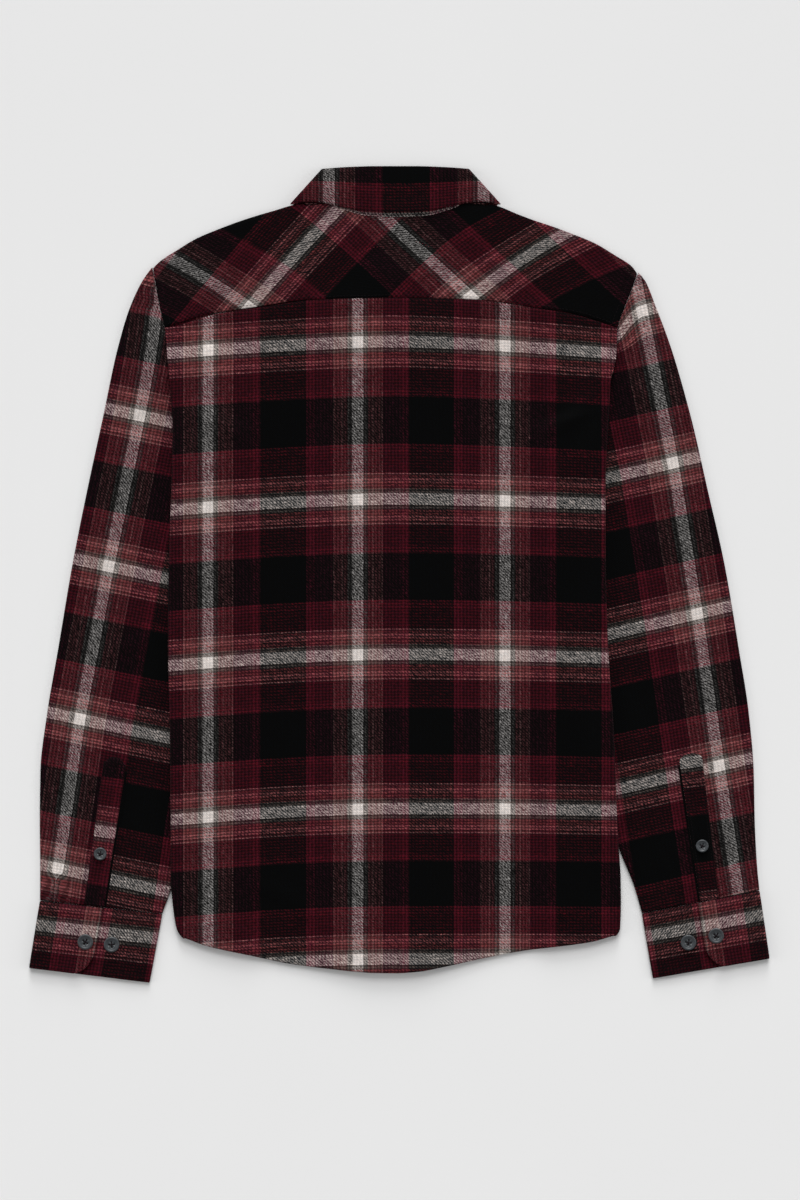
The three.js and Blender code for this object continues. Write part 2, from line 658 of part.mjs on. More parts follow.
function makeLeaf() {
  const left = collarStations(-1).slice(1).reverse().map(leafColumn);
  const right = collarStations(1).map(leafColumn);
  const columns = [...left, ...right];
  const rows = columns[0].map((unused, row) => columns.map((column) => column[row]));
  return wall(rows, CLOTH);
}

function makeStand() {
  const below = (LEAF_RADIUS - FOLD_RADIUS) / 2 + LIP + 3 * SEAM;
  const standColumn = ({ roll, leaf, neck, place }) => {
    const ahead = Math.hypot(leaf[0] - roll[0], leaf[1] - roll[1]);
    const top = neck[0] === 0 && neck[1] < NECK_Y ? [0, STAND_FRONT_Y] : mixPoint(roll, leaf, below / ahead);
    const length = Math.hypot(neck[0] - top[0], neck[1] - top[1]);
    return [0, 0.5, 1 - (3 * SEAM) / length].map((way) => place(mixPoint(top, neck, way), FOLD_RADIUS));
  };
  const left = collarStations(-1).slice(1, -1).reverse().map(standColumn);
  const right = collarStations(1).map(standColumn);
  const columns = [...left, ...right];
  const rows = columns[0].map((unused, row) => columns.map((column) => column[row]));
  return wall(rows, CLOTH, true);
}

// Buttons: a dished disc with a rim and four holes

function toManifold(geometry) {
  const bare = geometry.clone();
  bare.deleteAttribute('normal');
  bare.deleteAttribute('uv');
  const merged = mergeVertices(bare, 1e-4);
  return new wasm.Manifold(new wasm.Mesh({
    numProp: 3,
    vertProperties: new Float32Array(merged.attributes.position.array),
    triVerts: new Uint32Array(merged.index.array),
  }));
}

function makeButton(diameter, sides, holes) {
  const radius = diameter / 2;
  const profile = [
    [0, 0],
    [0.8 * radius, 0],
    [radius, 0.35 * BUTTON_THICK],
    [radius, 0.7 * BUTTON_THICK],
    [0.9 * radius, BUTTON_THICK],
    [0.74 * radius, BUTTON_THICK],
    [0.6 * radius, 0.7 * BUTTON_THICK],
    [0, 0.7 * BUTTON_THICK],
  ].map(([across, up]) => new THREE.Vector2(across, up));
  const disc = new THREE.LatheGeometry(profile, sides).rotateX(Math.PI / 2);
  if (!holes) return disc;
  let body = toManifold(disc);
  for (const [across, along] of [[1, 1], [1, -1], [-1, 1], [-1, -1]]) {
    const hole = new THREE.CylinderGeometry(0.9, 0.9, 3 * BUTTON_THICK, 6).rotateX(Math.PI / 2);
    hole.translate(across * 0.115 * diameter, along * 0.115 * diameter, 0);
    body = body.subtract(toManifold(hole));
  }
  const mesh = body.getMesh();
  const geometry = new THREE.BufferGeometry();
  geometry.setAttribute('position', new THREE.Float32BufferAttribute(mesh.vertProperties, 3));
  geometry.setIndex(Array.from(mesh.triVerts));
  geometry.computeVertexNormals();
  return geometry;
}

// The shirt

const shirt = new THREE.Group();

function add(name, geometry, colour, roughness = 0.95) {
  const mesh = new THREE.Mesh(geometry, new THREE.MeshStandardMaterial({ color: colour, roughness, metalness: 0 }));
  mesh.name = name;
  shirt.add(mesh);
  return mesh;
}

add('back', makeBack(), CLOTH_COLOUR);
add('back_yoke', makeYoke(), CLOTH_COLOUR);
add('front_left', makeFront(-1), CLOTH_COLOUR);
add('front_right', makeFront(1), CLOTH_COLOUR);
add('front_placket', makePlacket(), DARK_COLOUR);
add('collar_leaf', makeLeaf(), CLOTH_COLOUR);
add('collar_stand', makeStand(), DARK_COLOUR);

const SLEEVE_TOP = CLOTH + LAYER;
const CUFF_HEIGHTS = [CUFF_CLOTH + 2 * CUFF_LAYER, CUFF_CLOTH + CUFF_LAYER];
for (const [name, side] of [['left', -1], ['right', 1]]) {
  add(`sleeve_${name}`, makeSleeve(side), CLOTH_COLOUR);
  add(`cuff_${name}`, makeCuff(CUFFS[name]), CLOTH_COLOUR);
  add(`sleeve_placket_${name}`, makeSleevePlacket(SLEEVE_PLACKETS[name]), DARK_COLOUR);
  CUFF_BUTTONS[name].forEach(([x, y], number) => {
    const button = add(`cuff_button_${name}_${number + 1}`, makeButton(CUFF_BUTTON, 16, true), BUTTON_COLOUR, 0.5);
    button.position.set(x, y, CUFF_HEIGHTS[number] + SEAM);
  });
  const [x, y] = SLEEVE_BUTTONS[name];
  const button = add(`sleeve_button_${name}`, makeButton(FRONT_BUTTON, 16, true), BUTTON_COLOUR, 0.5);
  button.position.set(x, y, SLEEVE_TOP + LAYER + SEAM);
}

[COLLAR_BUTTON_Y, ...BUTTON_Y].forEach((y, number) => {
  const button = add(`front_button_${number + 1}`, makeButton(FRONT_BUTTON - 1, 12, false), BUTTON_COLOUR, 0.5);
  button.position.set(CENTRE_X, y, BUTTON_THICK);
  button.rotation.x = Math.PI;
});

export default shirt;
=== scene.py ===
"""A plaid flannel shirt, laid flat on its buttoned front with its back up.

Finer cloth, seams, stitches, buttons and materials lie over the solids of the frame. Lengths are in
millimetres here and become metres in each mesh.
"""
import math

import bpy
import numpy as np
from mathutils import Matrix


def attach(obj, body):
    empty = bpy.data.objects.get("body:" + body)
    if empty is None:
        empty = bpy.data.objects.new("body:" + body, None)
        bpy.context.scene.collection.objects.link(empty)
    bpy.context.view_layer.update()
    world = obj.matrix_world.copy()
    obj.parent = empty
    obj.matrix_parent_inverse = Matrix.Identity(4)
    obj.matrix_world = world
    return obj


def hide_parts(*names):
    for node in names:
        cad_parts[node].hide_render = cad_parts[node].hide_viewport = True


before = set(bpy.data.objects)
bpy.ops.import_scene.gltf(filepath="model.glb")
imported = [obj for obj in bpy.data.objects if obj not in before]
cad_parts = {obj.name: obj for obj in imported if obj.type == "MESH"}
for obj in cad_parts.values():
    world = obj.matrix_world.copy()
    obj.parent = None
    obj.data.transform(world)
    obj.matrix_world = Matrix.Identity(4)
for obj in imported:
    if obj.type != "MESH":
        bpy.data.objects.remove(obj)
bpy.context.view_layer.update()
TO_METRES = 0.001
SIDE_NAME = {-1: "left", 1: "right"}

# Cloth

CLOTH = 1.1
SEAM = 0.3
LAYER = CLOTH + SEAM
FOLD_RADIUS = LAYER / 2
CUFF_CLOTH = 1.4
CUFF_LAYER = CUFF_CLOTH + SEAM
FREE_EDGE_SHARE = 0.7
YOKE_SEAM_GAP = 0.12
SEAM_PUCKER = 0.28

# Body

CENTRE_X = -3.0
CHEST_HALF = 218.0
FRONT_HEM_SHORTER = 4.0
FLAP = 50.0
FLAP_LEAST = 0.6
FLAP_RADIUS = 1.5 * LAYER
FLAP_RISE = 2 * LAYER
SLEEVE_RISE = 3.2
LOW_LEVEL = -352.0
TOP_LEVEL = 243.0
NECK_HALF = 89.0
NECK_Y = 362.0
BACK_NECK_RISE = 4.0
FRONT_NECK_Y = 288.0
YOKE_WRAP = 25.0
WRAP_LEAST = 0.4
NECK_LIFT = 2.4
PLACKET_HALF = 16.0
BUTTON_LIFT = 2.6
BUTTON_RAMP = (20, 56)
SHOULDER_SHARE = NECK_HALF / 237
SHOULDER_END_Y = 300.5
FRONT_MARGIN = 1.5

# Levels over which the part folded under narrows, its fold opens, and the body comes down on the sleeve
UNDERARM_Y = 142
FLAP_NARROWS = (UNDERARM_Y, 167)
FOLD_OPENS = (167, 190)
BODY_COMES_DOWN = (192, TOP_LEVEL)
PLACKET_FADES = (222, 262)

# Outline of the body: y, left x, right x
BODY_EDGES = [
    (-357, -209, 209), (-345, -217, 216.5), (-322, -220.4, 217.2), (-298, -222.3, 216.9),
    (-250, -222.3, 213.8), (-207, -222.6, 212.2), (-150, -223.2, 209.9), (-86, -224.8, 205.5),
    (-40, -225, 203.4), (20, -223.9, 202.2), (90, -221.6, 202), (142, -220.4, 204.4), (190, -223.9, 207.5),
    (212, -225.9, 212.6), (243, -229, 214.7), (263, -233.6, 221.5), (284, -237.4, 229.6),
    (302, -240.6, 236),
]
# Hem and shoulder: share of the half width, y
HEM = [
    (-1, -355), (-0.9, -362.5), (-0.7, -371.5), (-0.5, -380.3), (-0.3, -385.3), (-0.1, -388.8), (0, -389),
    (0.1, -387.8), (0.2, -384), (0.4, -375), (0.6, -367), (0.8, -361.7), (0.9, -358.5), (1, -352.5),
]
SHOULDER_DROP = 5.0
SHOULDER = [
    (0.3, 364), (0.4, 362.8), (0.5, 356.5), (0.62, 348), (0.73, 338.5), (0.82, 329.5), (0.9, 318),
    (0.96, 309), (1, 300.5),
]
YOKE_SEAM = [(0, 272), (0.35, 270), (0.62, 262), (0.8, 256), (1, 243)]
# Sleeves from cuff to armhole: outer y, inner y, outer and inner x on the left and on the right, curve
SLEEVES = [
    (-283, -304, -350.4, -222.4, 350.6, 231.4, 0), (-240, -265, -350.8, -214.1, 348.4, 216, 0),
    (-191, -217, -350.2, -207.3, 347.4, 203.5, 0), (-134, -161, -343.5, -199.4, 342.5, 194.5, 0),
    (-71, -99, -332.7, -192.6, 332.7, 185.7, 0), (10, -21, -319, -184.7, 319, 174.9, 0),
    (84, 54, -304.3, -177.9, 302.3, 166.1, 0.03), (152, 104, -289.6, -174.6, 286.7, 158.8, 0.18),
    (221, 127, -274.9, -173, 267.1, 155.6, 0.55), (261, 134, -263.1, -172.4, 252.4, 154.8, 0.84),
    (288, 138, -250.6, -172, 241.4, 154.6, 0.95), (301.4, 140.6, -241.2, -172, 234.9, 154.4, 1),
]
ARMHOLE_TOP_Y = 301.4
ARMHOLE_UNDERLAP = 0.15

# Cuffs by their corners: top outer, top inner, end outer, end inner
CUFFS = {
    -1: ((-350.6, -318.8), (-232, -331.6), (-361.2, -384.2), (-244.4, -398.6)),
    1: ((353, -308.8), (239, -331.2), (362.8, -375), (249.8, -394.4)),
}
CUFF_FLAP_END = 61.0
CUFF_FLAP_CORNER = 20.0
CUFF_FLAP_SPACE = 0.15
CUFF_FLAP_LIFT = 0.6
CUFF_UNDER_END = 44.0
CUFF_BUTTONS = {-1: ((-306.3, -358.4), (-280.8, -361.2)), 1: ((310.7, -352.4), (283.7, -359.2))}
# Sleeve plackets: start, end, half width at both, length of the peak
PLACKETS = {
    -1: ((-298, -323), (-277.6, -184), 9.4, 11, 6),
    1: ((304.4, -317.2), (286.4, -181), 9, 11, 6),
}
PLACKET_BUTTONS = {-1: (-291.8, -272.4), 1: (297.1, -264.6)}
# Width of the low dark strip beside each sleeve placket, which paints its shadow line
SLIT_SHADOW_WIDTH = 2.3
# Collar at the back: share of the half width, y of its roll, y of the leaf's edge
COLLAR_BACK = [
    (0, 400, 354.3), (0.3, 400, 355.4), (0.52, 399.6, 360.2), (0.72, 399, 364.6), (0.86, 398.4, 365.6),
    (1, 397.6, 363.4),
]
ROLL_HALF = 69.0
LEAF_HALF = 100.0
ROLL_FRONT = (5.0, 318.0)
COLLAR_POINT = (60.0, 288.0)
STAND_FRONT_Y = 309.0
COLLAR_Z = NECK_LIFT + 0.5 * CLOTH + FOLD_RADIUS
LEAF_RADIUS = 3 * FOLD_RADIUS
LIP = 0.5
UNDER_COLLAR_MIDDLE = 1.0
UNDER_COLLAR_HALF = 61.5
LEAF_PLAID_SCALE = 1.05
LEAF_PLAID_X = 68.0

# Check: half a repeat each way, counted from the middle of the off-white stripe
WARP_HALF = 72.0
WEFT_HALF = 76.0
WARP_YARN = 0.84
WEFT_YARN = 0.76

# Creases: x, y at both ends, half width, height (a trough is below 0)
BACK_CREASES = [
    (-214, 176, -150, 118, 9, 1.3), (-210, 138, -168, 92, 7, 0.8), (-206, 60, -176, -30, 10, 0.7),
    (198, 186, 146, 140, 8, 1.5), (194, 150, 160, 92, 9, 1.1), (190, 108, 178, 8, 7, 0.9),
    (196, 40, 172, -64, 9, 0.8), (-202, -150, -184, -246, 10, 0.7), (190, -142, 176, -238, 11, 0.8),
    (-120, 232, -96, 150, 13, 0.8), (112, 226, 84, 122, 12, 0.8), (-36, 236, -20, 196, 10, 0.5),
    (36, 92, 70, -44, 15, 0.6), (-92, 30, -62, -120, 16, 0.6), (128, -30, 104, -180, 14, 0.6),
    (-150, -300, -60, -352, 9, 0.9), (-20, -372, 84, -366, 8, 0.8), (120, -352, 186, -318, 9, 0.7),
    (-30, -180, 24, -290, 15, 0.5), (-168, 214, -206, 224, 7, 0.7), (160, 212, 196, 222, 6, 0.7),
]
SLEEVE_CREASES = {
    -1: [
        (-238, 186, -268, 150, 7, 1.2), (-232, 120, -284, 96, 8, 0.9), (-240, 40, -296, 10, 9, 0.8),
        (-300, 60, -280, -40, 8, 0.7), (-244, -60, -318, -84, 9, 0.8), (-330, -120, -300, -190, 9, 0.8),
        (-250, -140, -230, -210, 8, 0.7), (-340, -215, -330, -262, 6, 1.0), (-262, -236, -240, -300, 8, 0.9),
        (-318, -262, -312, -312, 5, 0.8), (-250, 240, -244, 196, 6, 0.8),
    ],
    1: [
        (222, 190, 256, 158, 7, 1.2), (212, 118, 270, 92, 8, 1.0), (226, 36, 286, 18, 9, 0.8),
        (292, 58, 268, -36, 8, 0.7), (226, -58, 300, -86, 9, 0.8), (326, -118, 300, -180, 9, 0.8),
        (236, -132, 222, -212, 8, 0.8), (338, -206, 330, -244, 6, 0.9), (246, -222, 252, -300, 8, 1.0),
        (270, -262, 276, -318, 6, 0.9), (238, 244, 232, 198, 6, 0.8),
    ],
}
# Pleats above the cuffs: lower and upper end, height, side to which the pleat lies
PLEATS = {
    -1: [((-334.0, -321), (-336.6, -276), 1.3, -1), ((-314.5, -322), (-313, -292), 0.8, 1)],
    1: [((341.0, -311), (331.0, -254), 1.4, 1), ((322.0, -314), (318.6, -288), 0.7, -1)],
}


def fine(count):
    return count


def ease(value, start, end):
    share = np.clip((np.asarray(value, float) - start) / (end - start), 0, 1)
    return share * share * (3 - 2 * share)


def mix(a, b, share):
    return a + (b - a) * share


def bell(distance, width):
    return np.exp(-((distance / width) ** 2))


def smooth_line(keys, values, at):
    """A smooth line through the rows of a table, level past its ends."""
    keys = np.asarray(keys, float)
    values = np.asarray(values, float)
    steps = np.diff(keys)
    rises = np.diff(values) / steps
    slopes = np.empty(len(keys))
    slopes[0] = rises[0]
    slopes[-1] = rises[-1]
    same = rises[1:] * rises[:-1] > 0
    total = rises[1:] + rises[:-1]
    slopes[1:-1] = np.where(same, 2 * rises[1:] * rises[:-1] / np.where(same, total, 1), 0)
    at = np.clip(np.asarray(at, float), keys[0], keys[-1])
    row = np.clip(np.searchsorted(keys, at, side="right") - 1, 0, len(keys) - 2)
    step = steps[row]
    share = (at - keys[row]) / step
    left = (1 + 2 * share) * (1 - share) ** 2 * values[row] + share * (1 - share) ** 2 * step * slopes[row]
    right = share**2 * (3 - 2 * share) * values[row + 1] + share**2 * (share - 1) * step * slopes[row + 1]
    return left + right


def straight_line(points, at):
    """A line through points, which goes on past its ends."""
    keys = np.array([point[0] for point in points], float)
    values = np.array([point[1] for point in points], float)
    if keys[0] > keys[-1]:
        keys, values = keys[::-1], values[::-1]
    at = np.asarray(at, float)
    row = np.clip(np.searchsorted(keys, at, side="right") - 1, 0, len(keys) - 2)
    share = (at - keys[row]) / (keys[row + 1] - keys[row])
    return values[row] + (values[row + 1] - values[row]) * share


def column(table, index):
    return [row[index] for row in table]


def along_table(table, index, at):
    """A smooth line through one column of a table, by its first column."""
    return smooth_line(column(table, 0), column(table, index), at)


def beside_line(x, y, start, end):
    """How far along a line, as a share, and across it each point lies, and the line's length."""
    length = math.hypot(end[0] - start[0], end[1] - start[1])
    ux, uy = (end[0] - start[0]) / length, (end[1] - start[1]) / length
    along = ((x - start[0]) * ux + (y - start[1]) * uy) / length
    return along, (x - start[0]) * uy - (y - start[1]) * ux, length


def run_along(line):
    """Distance from a line's first point to each of its points."""
    return np.concatenate([[0], np.cumsum(np.linalg.norm(np.diff(line, axis=0), axis=1))])


def uneven(x, y, scale):
    """Slow, irregular rise and fall between about -1 and 1."""
    a = np.sin(x / (19.0 * scale) + 1.3 * np.sin(y / (31.0 * scale) + 0.7))
    b = np.sin(y / (23.0 * scale) + 1.7 * np.sin(x / (37.0 * scale) - 1.1) + 2.0)
    c = np.sin((x + 0.6 * y) / (47.0 * scale) + 0.4)
    return (a + b + c) / 2.4

def crease(x, y, table):
    """Soft ridges and troughs along slightly bent lines that fade out at both ends."""
    total = np.zeros(np.broadcast(x, y).shape)
    for x0, y0, x1, y1, half, height in table:
        along, across, length = beside_line(x, y, (x0, y0), (x1, y1))
        across = across + 0.07 * length * np.sin(math.pi * np.clip(along, -0.2, 1.2))
        wide = half * (0.75 + 0.5 * np.clip(along, 0, 1))
        fade = ease(along, -0.15, 0.3) * (1 - ease(along, 0.6, 1.15))
        total = total + height * fade * bell(across, wide)
    return total


# Heights of the laid layers


def body_edge(y, side):
    return along_table(BODY_EDGES, 1 if side < 0 else 2, y)


def sleeve_inner(y, side):
    return smooth_line(column(SLEEVES, 1), column(SLEEVES, 3 if side < 0 else 5), y)


def flap_length(y):
    return FLAP_LEAST + (FLAP - FLAP_LEAST) * (1 - ease(y, *FLAP_NARROWS))


def over_sleeve(x, y, side):
    """How far the body is lifted by the sleeve's inner edge under it."""
    lift = 1 - ease(y, *BODY_COMES_DOWN)
    past = (sleeve_inner(np.minimum(y, UNDERARM_Y), side) - x) * side
    return lift * SLEEVE_RISE * ease(y, -345, -306) * (1 - ease(past, 3, 40))


def over_flap(x, y, side):
    """How far the body is lifted by the part folded under."""
    lift = 1 - ease(y, *BODY_COMES_DOWN)
    inward = (body_edge(y, side) - x) * side
    flap = flap_length(y)
    return lift * FLAP_RISE * (1 - ease(inward, flap + 4, flap + 36))


def from_centre(x):
    return np.abs(np.asarray(x) - CENTRE_X)


def over_buttons(x, y):
    return BUTTON_LIFT * (1 - ease(from_centre(x), *BUTTON_RAMP)) * (1 - ease(y, *PLACKET_FADES))


def front_height(x, y):
    x, y = np.broadcast_arrays(np.asarray(x, float), np.asarray(y, float))
    left = over_flap(x, y, -1) + over_sleeve(x, y, -1)
    right = over_flap(x, y, 1) + over_sleeve(x, y, 1)
    sides = np.where(x < CENTRE_X, left, right)
    neck = NECK_LIFT * (1 - ease(from_centre(x), 116, 200)) * ease(y, 196, 260)
    return 0.5 * CLOTH + sides + neck + over_buttons(x, y)


def overlap_rise(x, y):
    return LAYER * (1 - ease(from_centre(x), 18, 44)) * (1 - ease(y, 292, 320))


def soften(x, y):
    """The back lies over the placket and its buttons more loosely than the solid does."""
    ramp = (BUTTON_LIFT + LAYER) * (1 - ease(from_centre(x), 12, 104)) * (1 - ease(y, 222, 300))
    return np.maximum(ramp - (over_buttons(x, y) + overlap_rise(x, y)), 0)


def swell(x, y):
    """How far the top layer stands off the layers under it."""
    x, y = np.broadcast_arrays(np.asarray(x, float), np.asarray(y, float))
    edge = np.where(x < CENTRE_X, x - body_edge(y, -1), body_edge(y, 1) - x)
    free = ease(edge, 1, 26) * (1 - 0.75 * ease(y, 296, 350))
    loose = 0.55 + 0.3 * uneven(x, y, 1.6) + 0.12 * uneven(x + 40, y - 90, 0.7) + crease(x, y, BACK_CREASES)
    return np.maximum(free * loose, 0)


def back_height(x, y):
    return front_height(x, y) + LAYER + overlap_rise(x, y) + soften(x, y) + swell(x, y)


def hem_y(share):
    return along_table(HEM, 1, share)


def seam_y(share):
    return along_table(YOKE_SEAM, 1, np.abs(share))


def shoulder_drop(share):
    """The right shoulder lies lower than the left one."""
    share = np.asarray(share, float)
    return np.where(share > 0, SHOULDER_DROP * ease(share, 0.34, 0.6), 0)


def shoulder_y(share):
    return along_table(SHOULDER, 1, np.abs(share)) - shoulder_drop(share)


def row_y(level, share):
    return mix(hem_y(share), seam_y(share), (level - LOW_LEVEL) / (TOP_LEVEL - LOW_LEVEL))


# Rolled edges. An angle near 0 is cloth that stays flat

FLAT_ANGLE = 0.01
ROLL_LEAST = 0.9


def roll_arc(radius, angle):
    return np.maximum(radius * angle, ROLL_LEAST)


def roll_bend(arc, angle):
    return np.where(angle > FLAT_ANGLE, arc / np.maximum(angle, FLAT_ANGLE), 0)


def roll_steps(arc, angle, steps):
    """How far out and how far down each step of a roll lies."""
    bend = roll_bend(arc, angle)
    turned = angle * steps
    out = np.where(angle > FLAT_ANGLE, bend * np.sin(turned), arc * steps)
    down = np.where(angle > FLAT_ANGLE, bend * (1 - np.cos(turned)), 0)
    return out, down


def roll_reach(radius, angle, after):
    arc = roll_arc(radius, angle)
    bend = roll_bend(arc, angle)
    short = np.where(angle > FLAT_ANGLE, bend * np.sin(angle), arc) + after * np.cos(angle)
    return np.where(angle > math.pi / 2, bend, short)


def seam_dip(distance, depth=0.45, width=1.6):
    return depth * bell(distance, width)


def seam_pucker(x, distance):
    return SEAM_PUCKER * np.sin(x / 2.1 + 2 * np.sin(x / 17)) * np.exp(-distance / 5)


# Meshes


def wall(points, thickness, ring=False):
    """Both faces of a shell about a grid of middle points, thinner at its free edges."""
    rows, columns = points.shape[:2]
    if ring:
        across = np.roll(points, -1, 1) - np.roll(points, 1, 1)
    else:
        across = np.gradient(points, axis=1)
    normal = np.cross(across, np.gradient(points, axis=0))
    normal /= np.maximum(np.linalg.norm(normal, axis=2, keepdims=True), 1e-9)
    half = np.broadcast_to(np.asarray(thickness, float), (rows, columns)) * 0.5
    half[0] *= FREE_EDGE_SHARE
    half[-1] *= FREE_EDGE_SHARE
    if not ring:
        half[1:-1, 0] *= FREE_EDGE_SHARE
        half[1:-1, -1] *= FREE_EDGE_SHARE
    return points + normal * half[..., None], points - normal * half[..., None]


def shell(name, points, fabric, thickness, ring=False, bulge=0.1):
    """A closed thin shell of flannel with fabric coordinates.

    points is rows x columns x 3, fabric rows x columns x 2, with one more column for a ring.
    """
    rows, columns = points.shape[:2]
    top, bottom = wall(points, thickness, ring)
    out = np.zeros_like(points)
    out[0] += points[0] - points[1]
    out[-1] += points[-1] - points[-2]
    if not ring:
        out[:, 0] += points[:, 0] - points[:, 1]
        out[:, -1] += points[:, -1] - points[:, -2]
    length = np.maximum(np.linalg.norm(out, axis=2, keepdims=True), 1e-9)
    rim = points + out / length * bulge
    places = np.concatenate([top.reshape(-1, 3), bottom.reshape(-1, 3)])
    last_fabric = fabric.shape[1] - 1
    row, col = np.meshgrid(np.arange(rows - 1), np.arange(columns if ring else columns - 1), indexing="ij")
    row, col = row.ravel(), col.ravel()

    def corner(r, c, layer):
        return layer * rows * columns + r * columns + c % columns

    def mapped(r, c):
        return fabric[r, np.minimum(c, last_fabric)]

    ways_round = (((0, 0), (0, 1), (1, 1), (1, 0)), ((0, 0), (1, 0), (1, 1), (0, 1)))
    faces = [
        np.stack([corner(row + down, col + right, layer) for down, right in way], 1)
        for layer, way in enumerate(ways_round)
    ]
    maps = [np.stack([mapped(row + down, col + right) for down, right in way], 1) for way in ways_round]

    def edge_strip(edge_rows, edge_columns, closed):
        """Two bands of faces round a free edge, over a row of rim points."""
        nonlocal places
        base = len(places)
        places = np.concatenate([places, rim[edge_rows, edge_columns % columns]])
        here = np.arange(len(edge_rows) if closed else len(edge_rows) - 1)
        there = (here + 1) % len(edge_rows)
        fabric_there = edge_columns[here] + 1 if closed and ring else edge_columns[there]
        uv_here = mapped(edge_rows[here], edge_columns[here])
        uv_there = mapped(edge_rows[there], fabric_there)
        band_uv = np.stack([uv_here, uv_here, uv_there, uv_there], 1)
        for layer in (0, 1):
            first = corner(edge_rows[here], edge_columns[here], layer)
            second = corner(edge_rows[there], edge_columns[there], layer)
            band = np.stack([first, base + here, base + there, second], 1)
            faces.append(band[:, ::-1] if layer else band)
            maps.append(band_uv[:, ::-1] if layer else band_uv)

    if ring:
        edge_strip(np.zeros(columns, int), np.arange(columns), True)
        edge_strip(np.full(columns, rows - 1), np.arange(columns)[::-1], False)
        edge_strip(np.full(2, rows - 1), np.array([columns, columns - 1]), False)
    else:
        round_rows = [np.zeros(columns, int), np.arange(1, rows), np.full(columns - 1, rows - 1)]
        round_rows.append(np.arange(rows - 2, 0, -1))
        round_columns = [np.arange(columns), np.full(rows - 1, columns - 1), np.arange(columns - 2, -1, -1)]
        round_columns.append(np.zeros(rows - 2, int))
        edge_strip(np.concatenate(round_rows), np.concatenate(round_columns), True)
    return cloth_piece(name, places, np.concatenate(faces), np.concatenate(maps))


def add_object(name, mesh, material):
    mesh.materials.append(material)
    made = bpy.data.objects.new(name, mesh)
    bpy.context.collection.objects.link(made)
    return made


def cloth_piece(name, places, faces, maps):
    """A piece of flannel from points in millimetres and four-cornered faces that are turned outwards."""
    corners = places[faces]
    first = np.cross(corners[:, 1] - corners[:, 0], corners[:, 2] - corners[:, 0])
    second = np.cross(corners[:, 2] - corners[:, 0], corners[:, 3] - corners[:, 0])
    volume = ((corners[:, 0] - places.mean(0)) * (first + second)).sum()
    if volume < 0:
        faces = faces[:, ::-1]
        maps = maps[:, ::-1]
    mesh = bpy.data.meshes.new(name)
    mesh.vertices.add(len(places))
    mesh.vertices.foreach_set("co", (places * TO_METRES).astype(np.float32).ravel())
    mesh.loops.add(faces.size)
    mesh.loops.foreach_set("vertex_index", faces.astype(np.int32).ravel())
    mesh.polygons.add(len(faces))
    mesh.polygons.foreach_set("loop_start", np.arange(0, faces.size, 4, dtype=np.int32))
    mesh.polygons.foreach_set("use_smooth", np.ones(len(faces), dtype=bool))
    layer = mesh.uv_layers.new(name="fabric")
    mesh.update(calc_edges=True)
    layer.data.foreach_set("uv", (maps * TO_METRES).astype(np.float32).ravel())
    mesh.validate()
    piece = add_object(name, mesh, FLANNEL)
    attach(piece, "root")
    return piece


def smooth_mesh(name, points, faces):
    """A smooth-shaded mesh from points in millimetres and faces of any number of corners."""
    mesh = bpy.data.meshes.new(name)
    mesh.from_pydata([tuple(TO_METRES * value for value in point) for point in points], [], faces)
    mesh.validate()
    mesh.polygons.foreach_set("use_smooth", np.ones(len(mesh.polygons), dtype=bool))
    return mesh


def surface(x, y, height):
    return np.stack([x, y, height(x, y)], 2)


# Materials


def nodes_of(name):
    material = bpy.data.materials.new(name)
    material.use_nodes = True
    tree = material.node_tree
    return material, tree, tree.nodes["Principled BSDF"]


def feed(tree, socket, value):
    """Gives a socket a number, a colour or vector, or another node's output."""
    if isinstance(value, (int, float, tuple)):
        socket.default_value = value
    elif value is not None:
        tree.links.new(value, socket)


def math_node(tree, operation, first, second=None):
    made = tree.nodes.new("ShaderNodeMath")
    made.operation = operation
    feed(tree, made.inputs[0], first)
    feed(tree, made.inputs[1], second)
    return made.outputs[0]


def vector_node(tree, operation, first, second):
    made = tree.nodes.new("ShaderNodeVectorMath")
    made.operation = operation
    feed(tree, made.inputs[0], first)
    feed(tree, made.inputs["Scale"] if operation == "SCALE" else made.inputs[1], second)
    return made.outputs[0]


def swing(tree, value, middle, amount):
    """The value's distance from its middle, times an amount."""
    return math_node(tree, "MULTIPLY", math_node(tree, "SUBTRACT", value, middle), amount)


def sloped(tree, value, slope, start):
    return math_node(tree, "ADD", math_node(tree, "MULTIPLY", value, slope), start)


def colour_mix(tree, share, first, second):
    made = tree.nodes.new("ShaderNodeMix")
    made.data_type = "RGBA"
    made.clamp_result = False
    feed(tree, made.inputs[0], share)
    for socket, value in zip((made.inputs[6], made.inputs[7]), (first, second)):
        feed(tree, socket, (*value, 1) if isinstance(value, tuple) else value)
    return made.outputs[2]


def noise(tree, vector, scale, detail=2.0, rough=0.5):
    made = tree.nodes.new("ShaderNodeTexNoise")
    made.inputs["Scale"].default_value = scale
    made.inputs["Detail"].default_value = detail
    made.inputs["Roughness"].default_value = rough
    tree.links.new(vector, made.inputs["Vector"])
    return made.outputs[0]


def streaks(tree, source, stretch):
    """Noise drawn out along one set of yarns."""
    mapping = tree.nodes.new("ShaderNodeMapping")
    mapping.inputs["Scale"].default_value = stretch
    tree.links.new(source, mapping.inputs[0])
    return noise(tree, mapping.outputs[0], SLUB_SCALE, 3.0, 0.7)


def raise_surface(tree, shader, height, strength, distance):
    bump = tree.nodes.new("ShaderNodeBump")
    bump.inputs["Strength"].default_value = strength
    bump.inputs["Distance"].default_value = distance
    tree.links.new(height, bump.inputs["Height"])
    tree.links.new(bump.outputs[0], shader.inputs["Normal"])


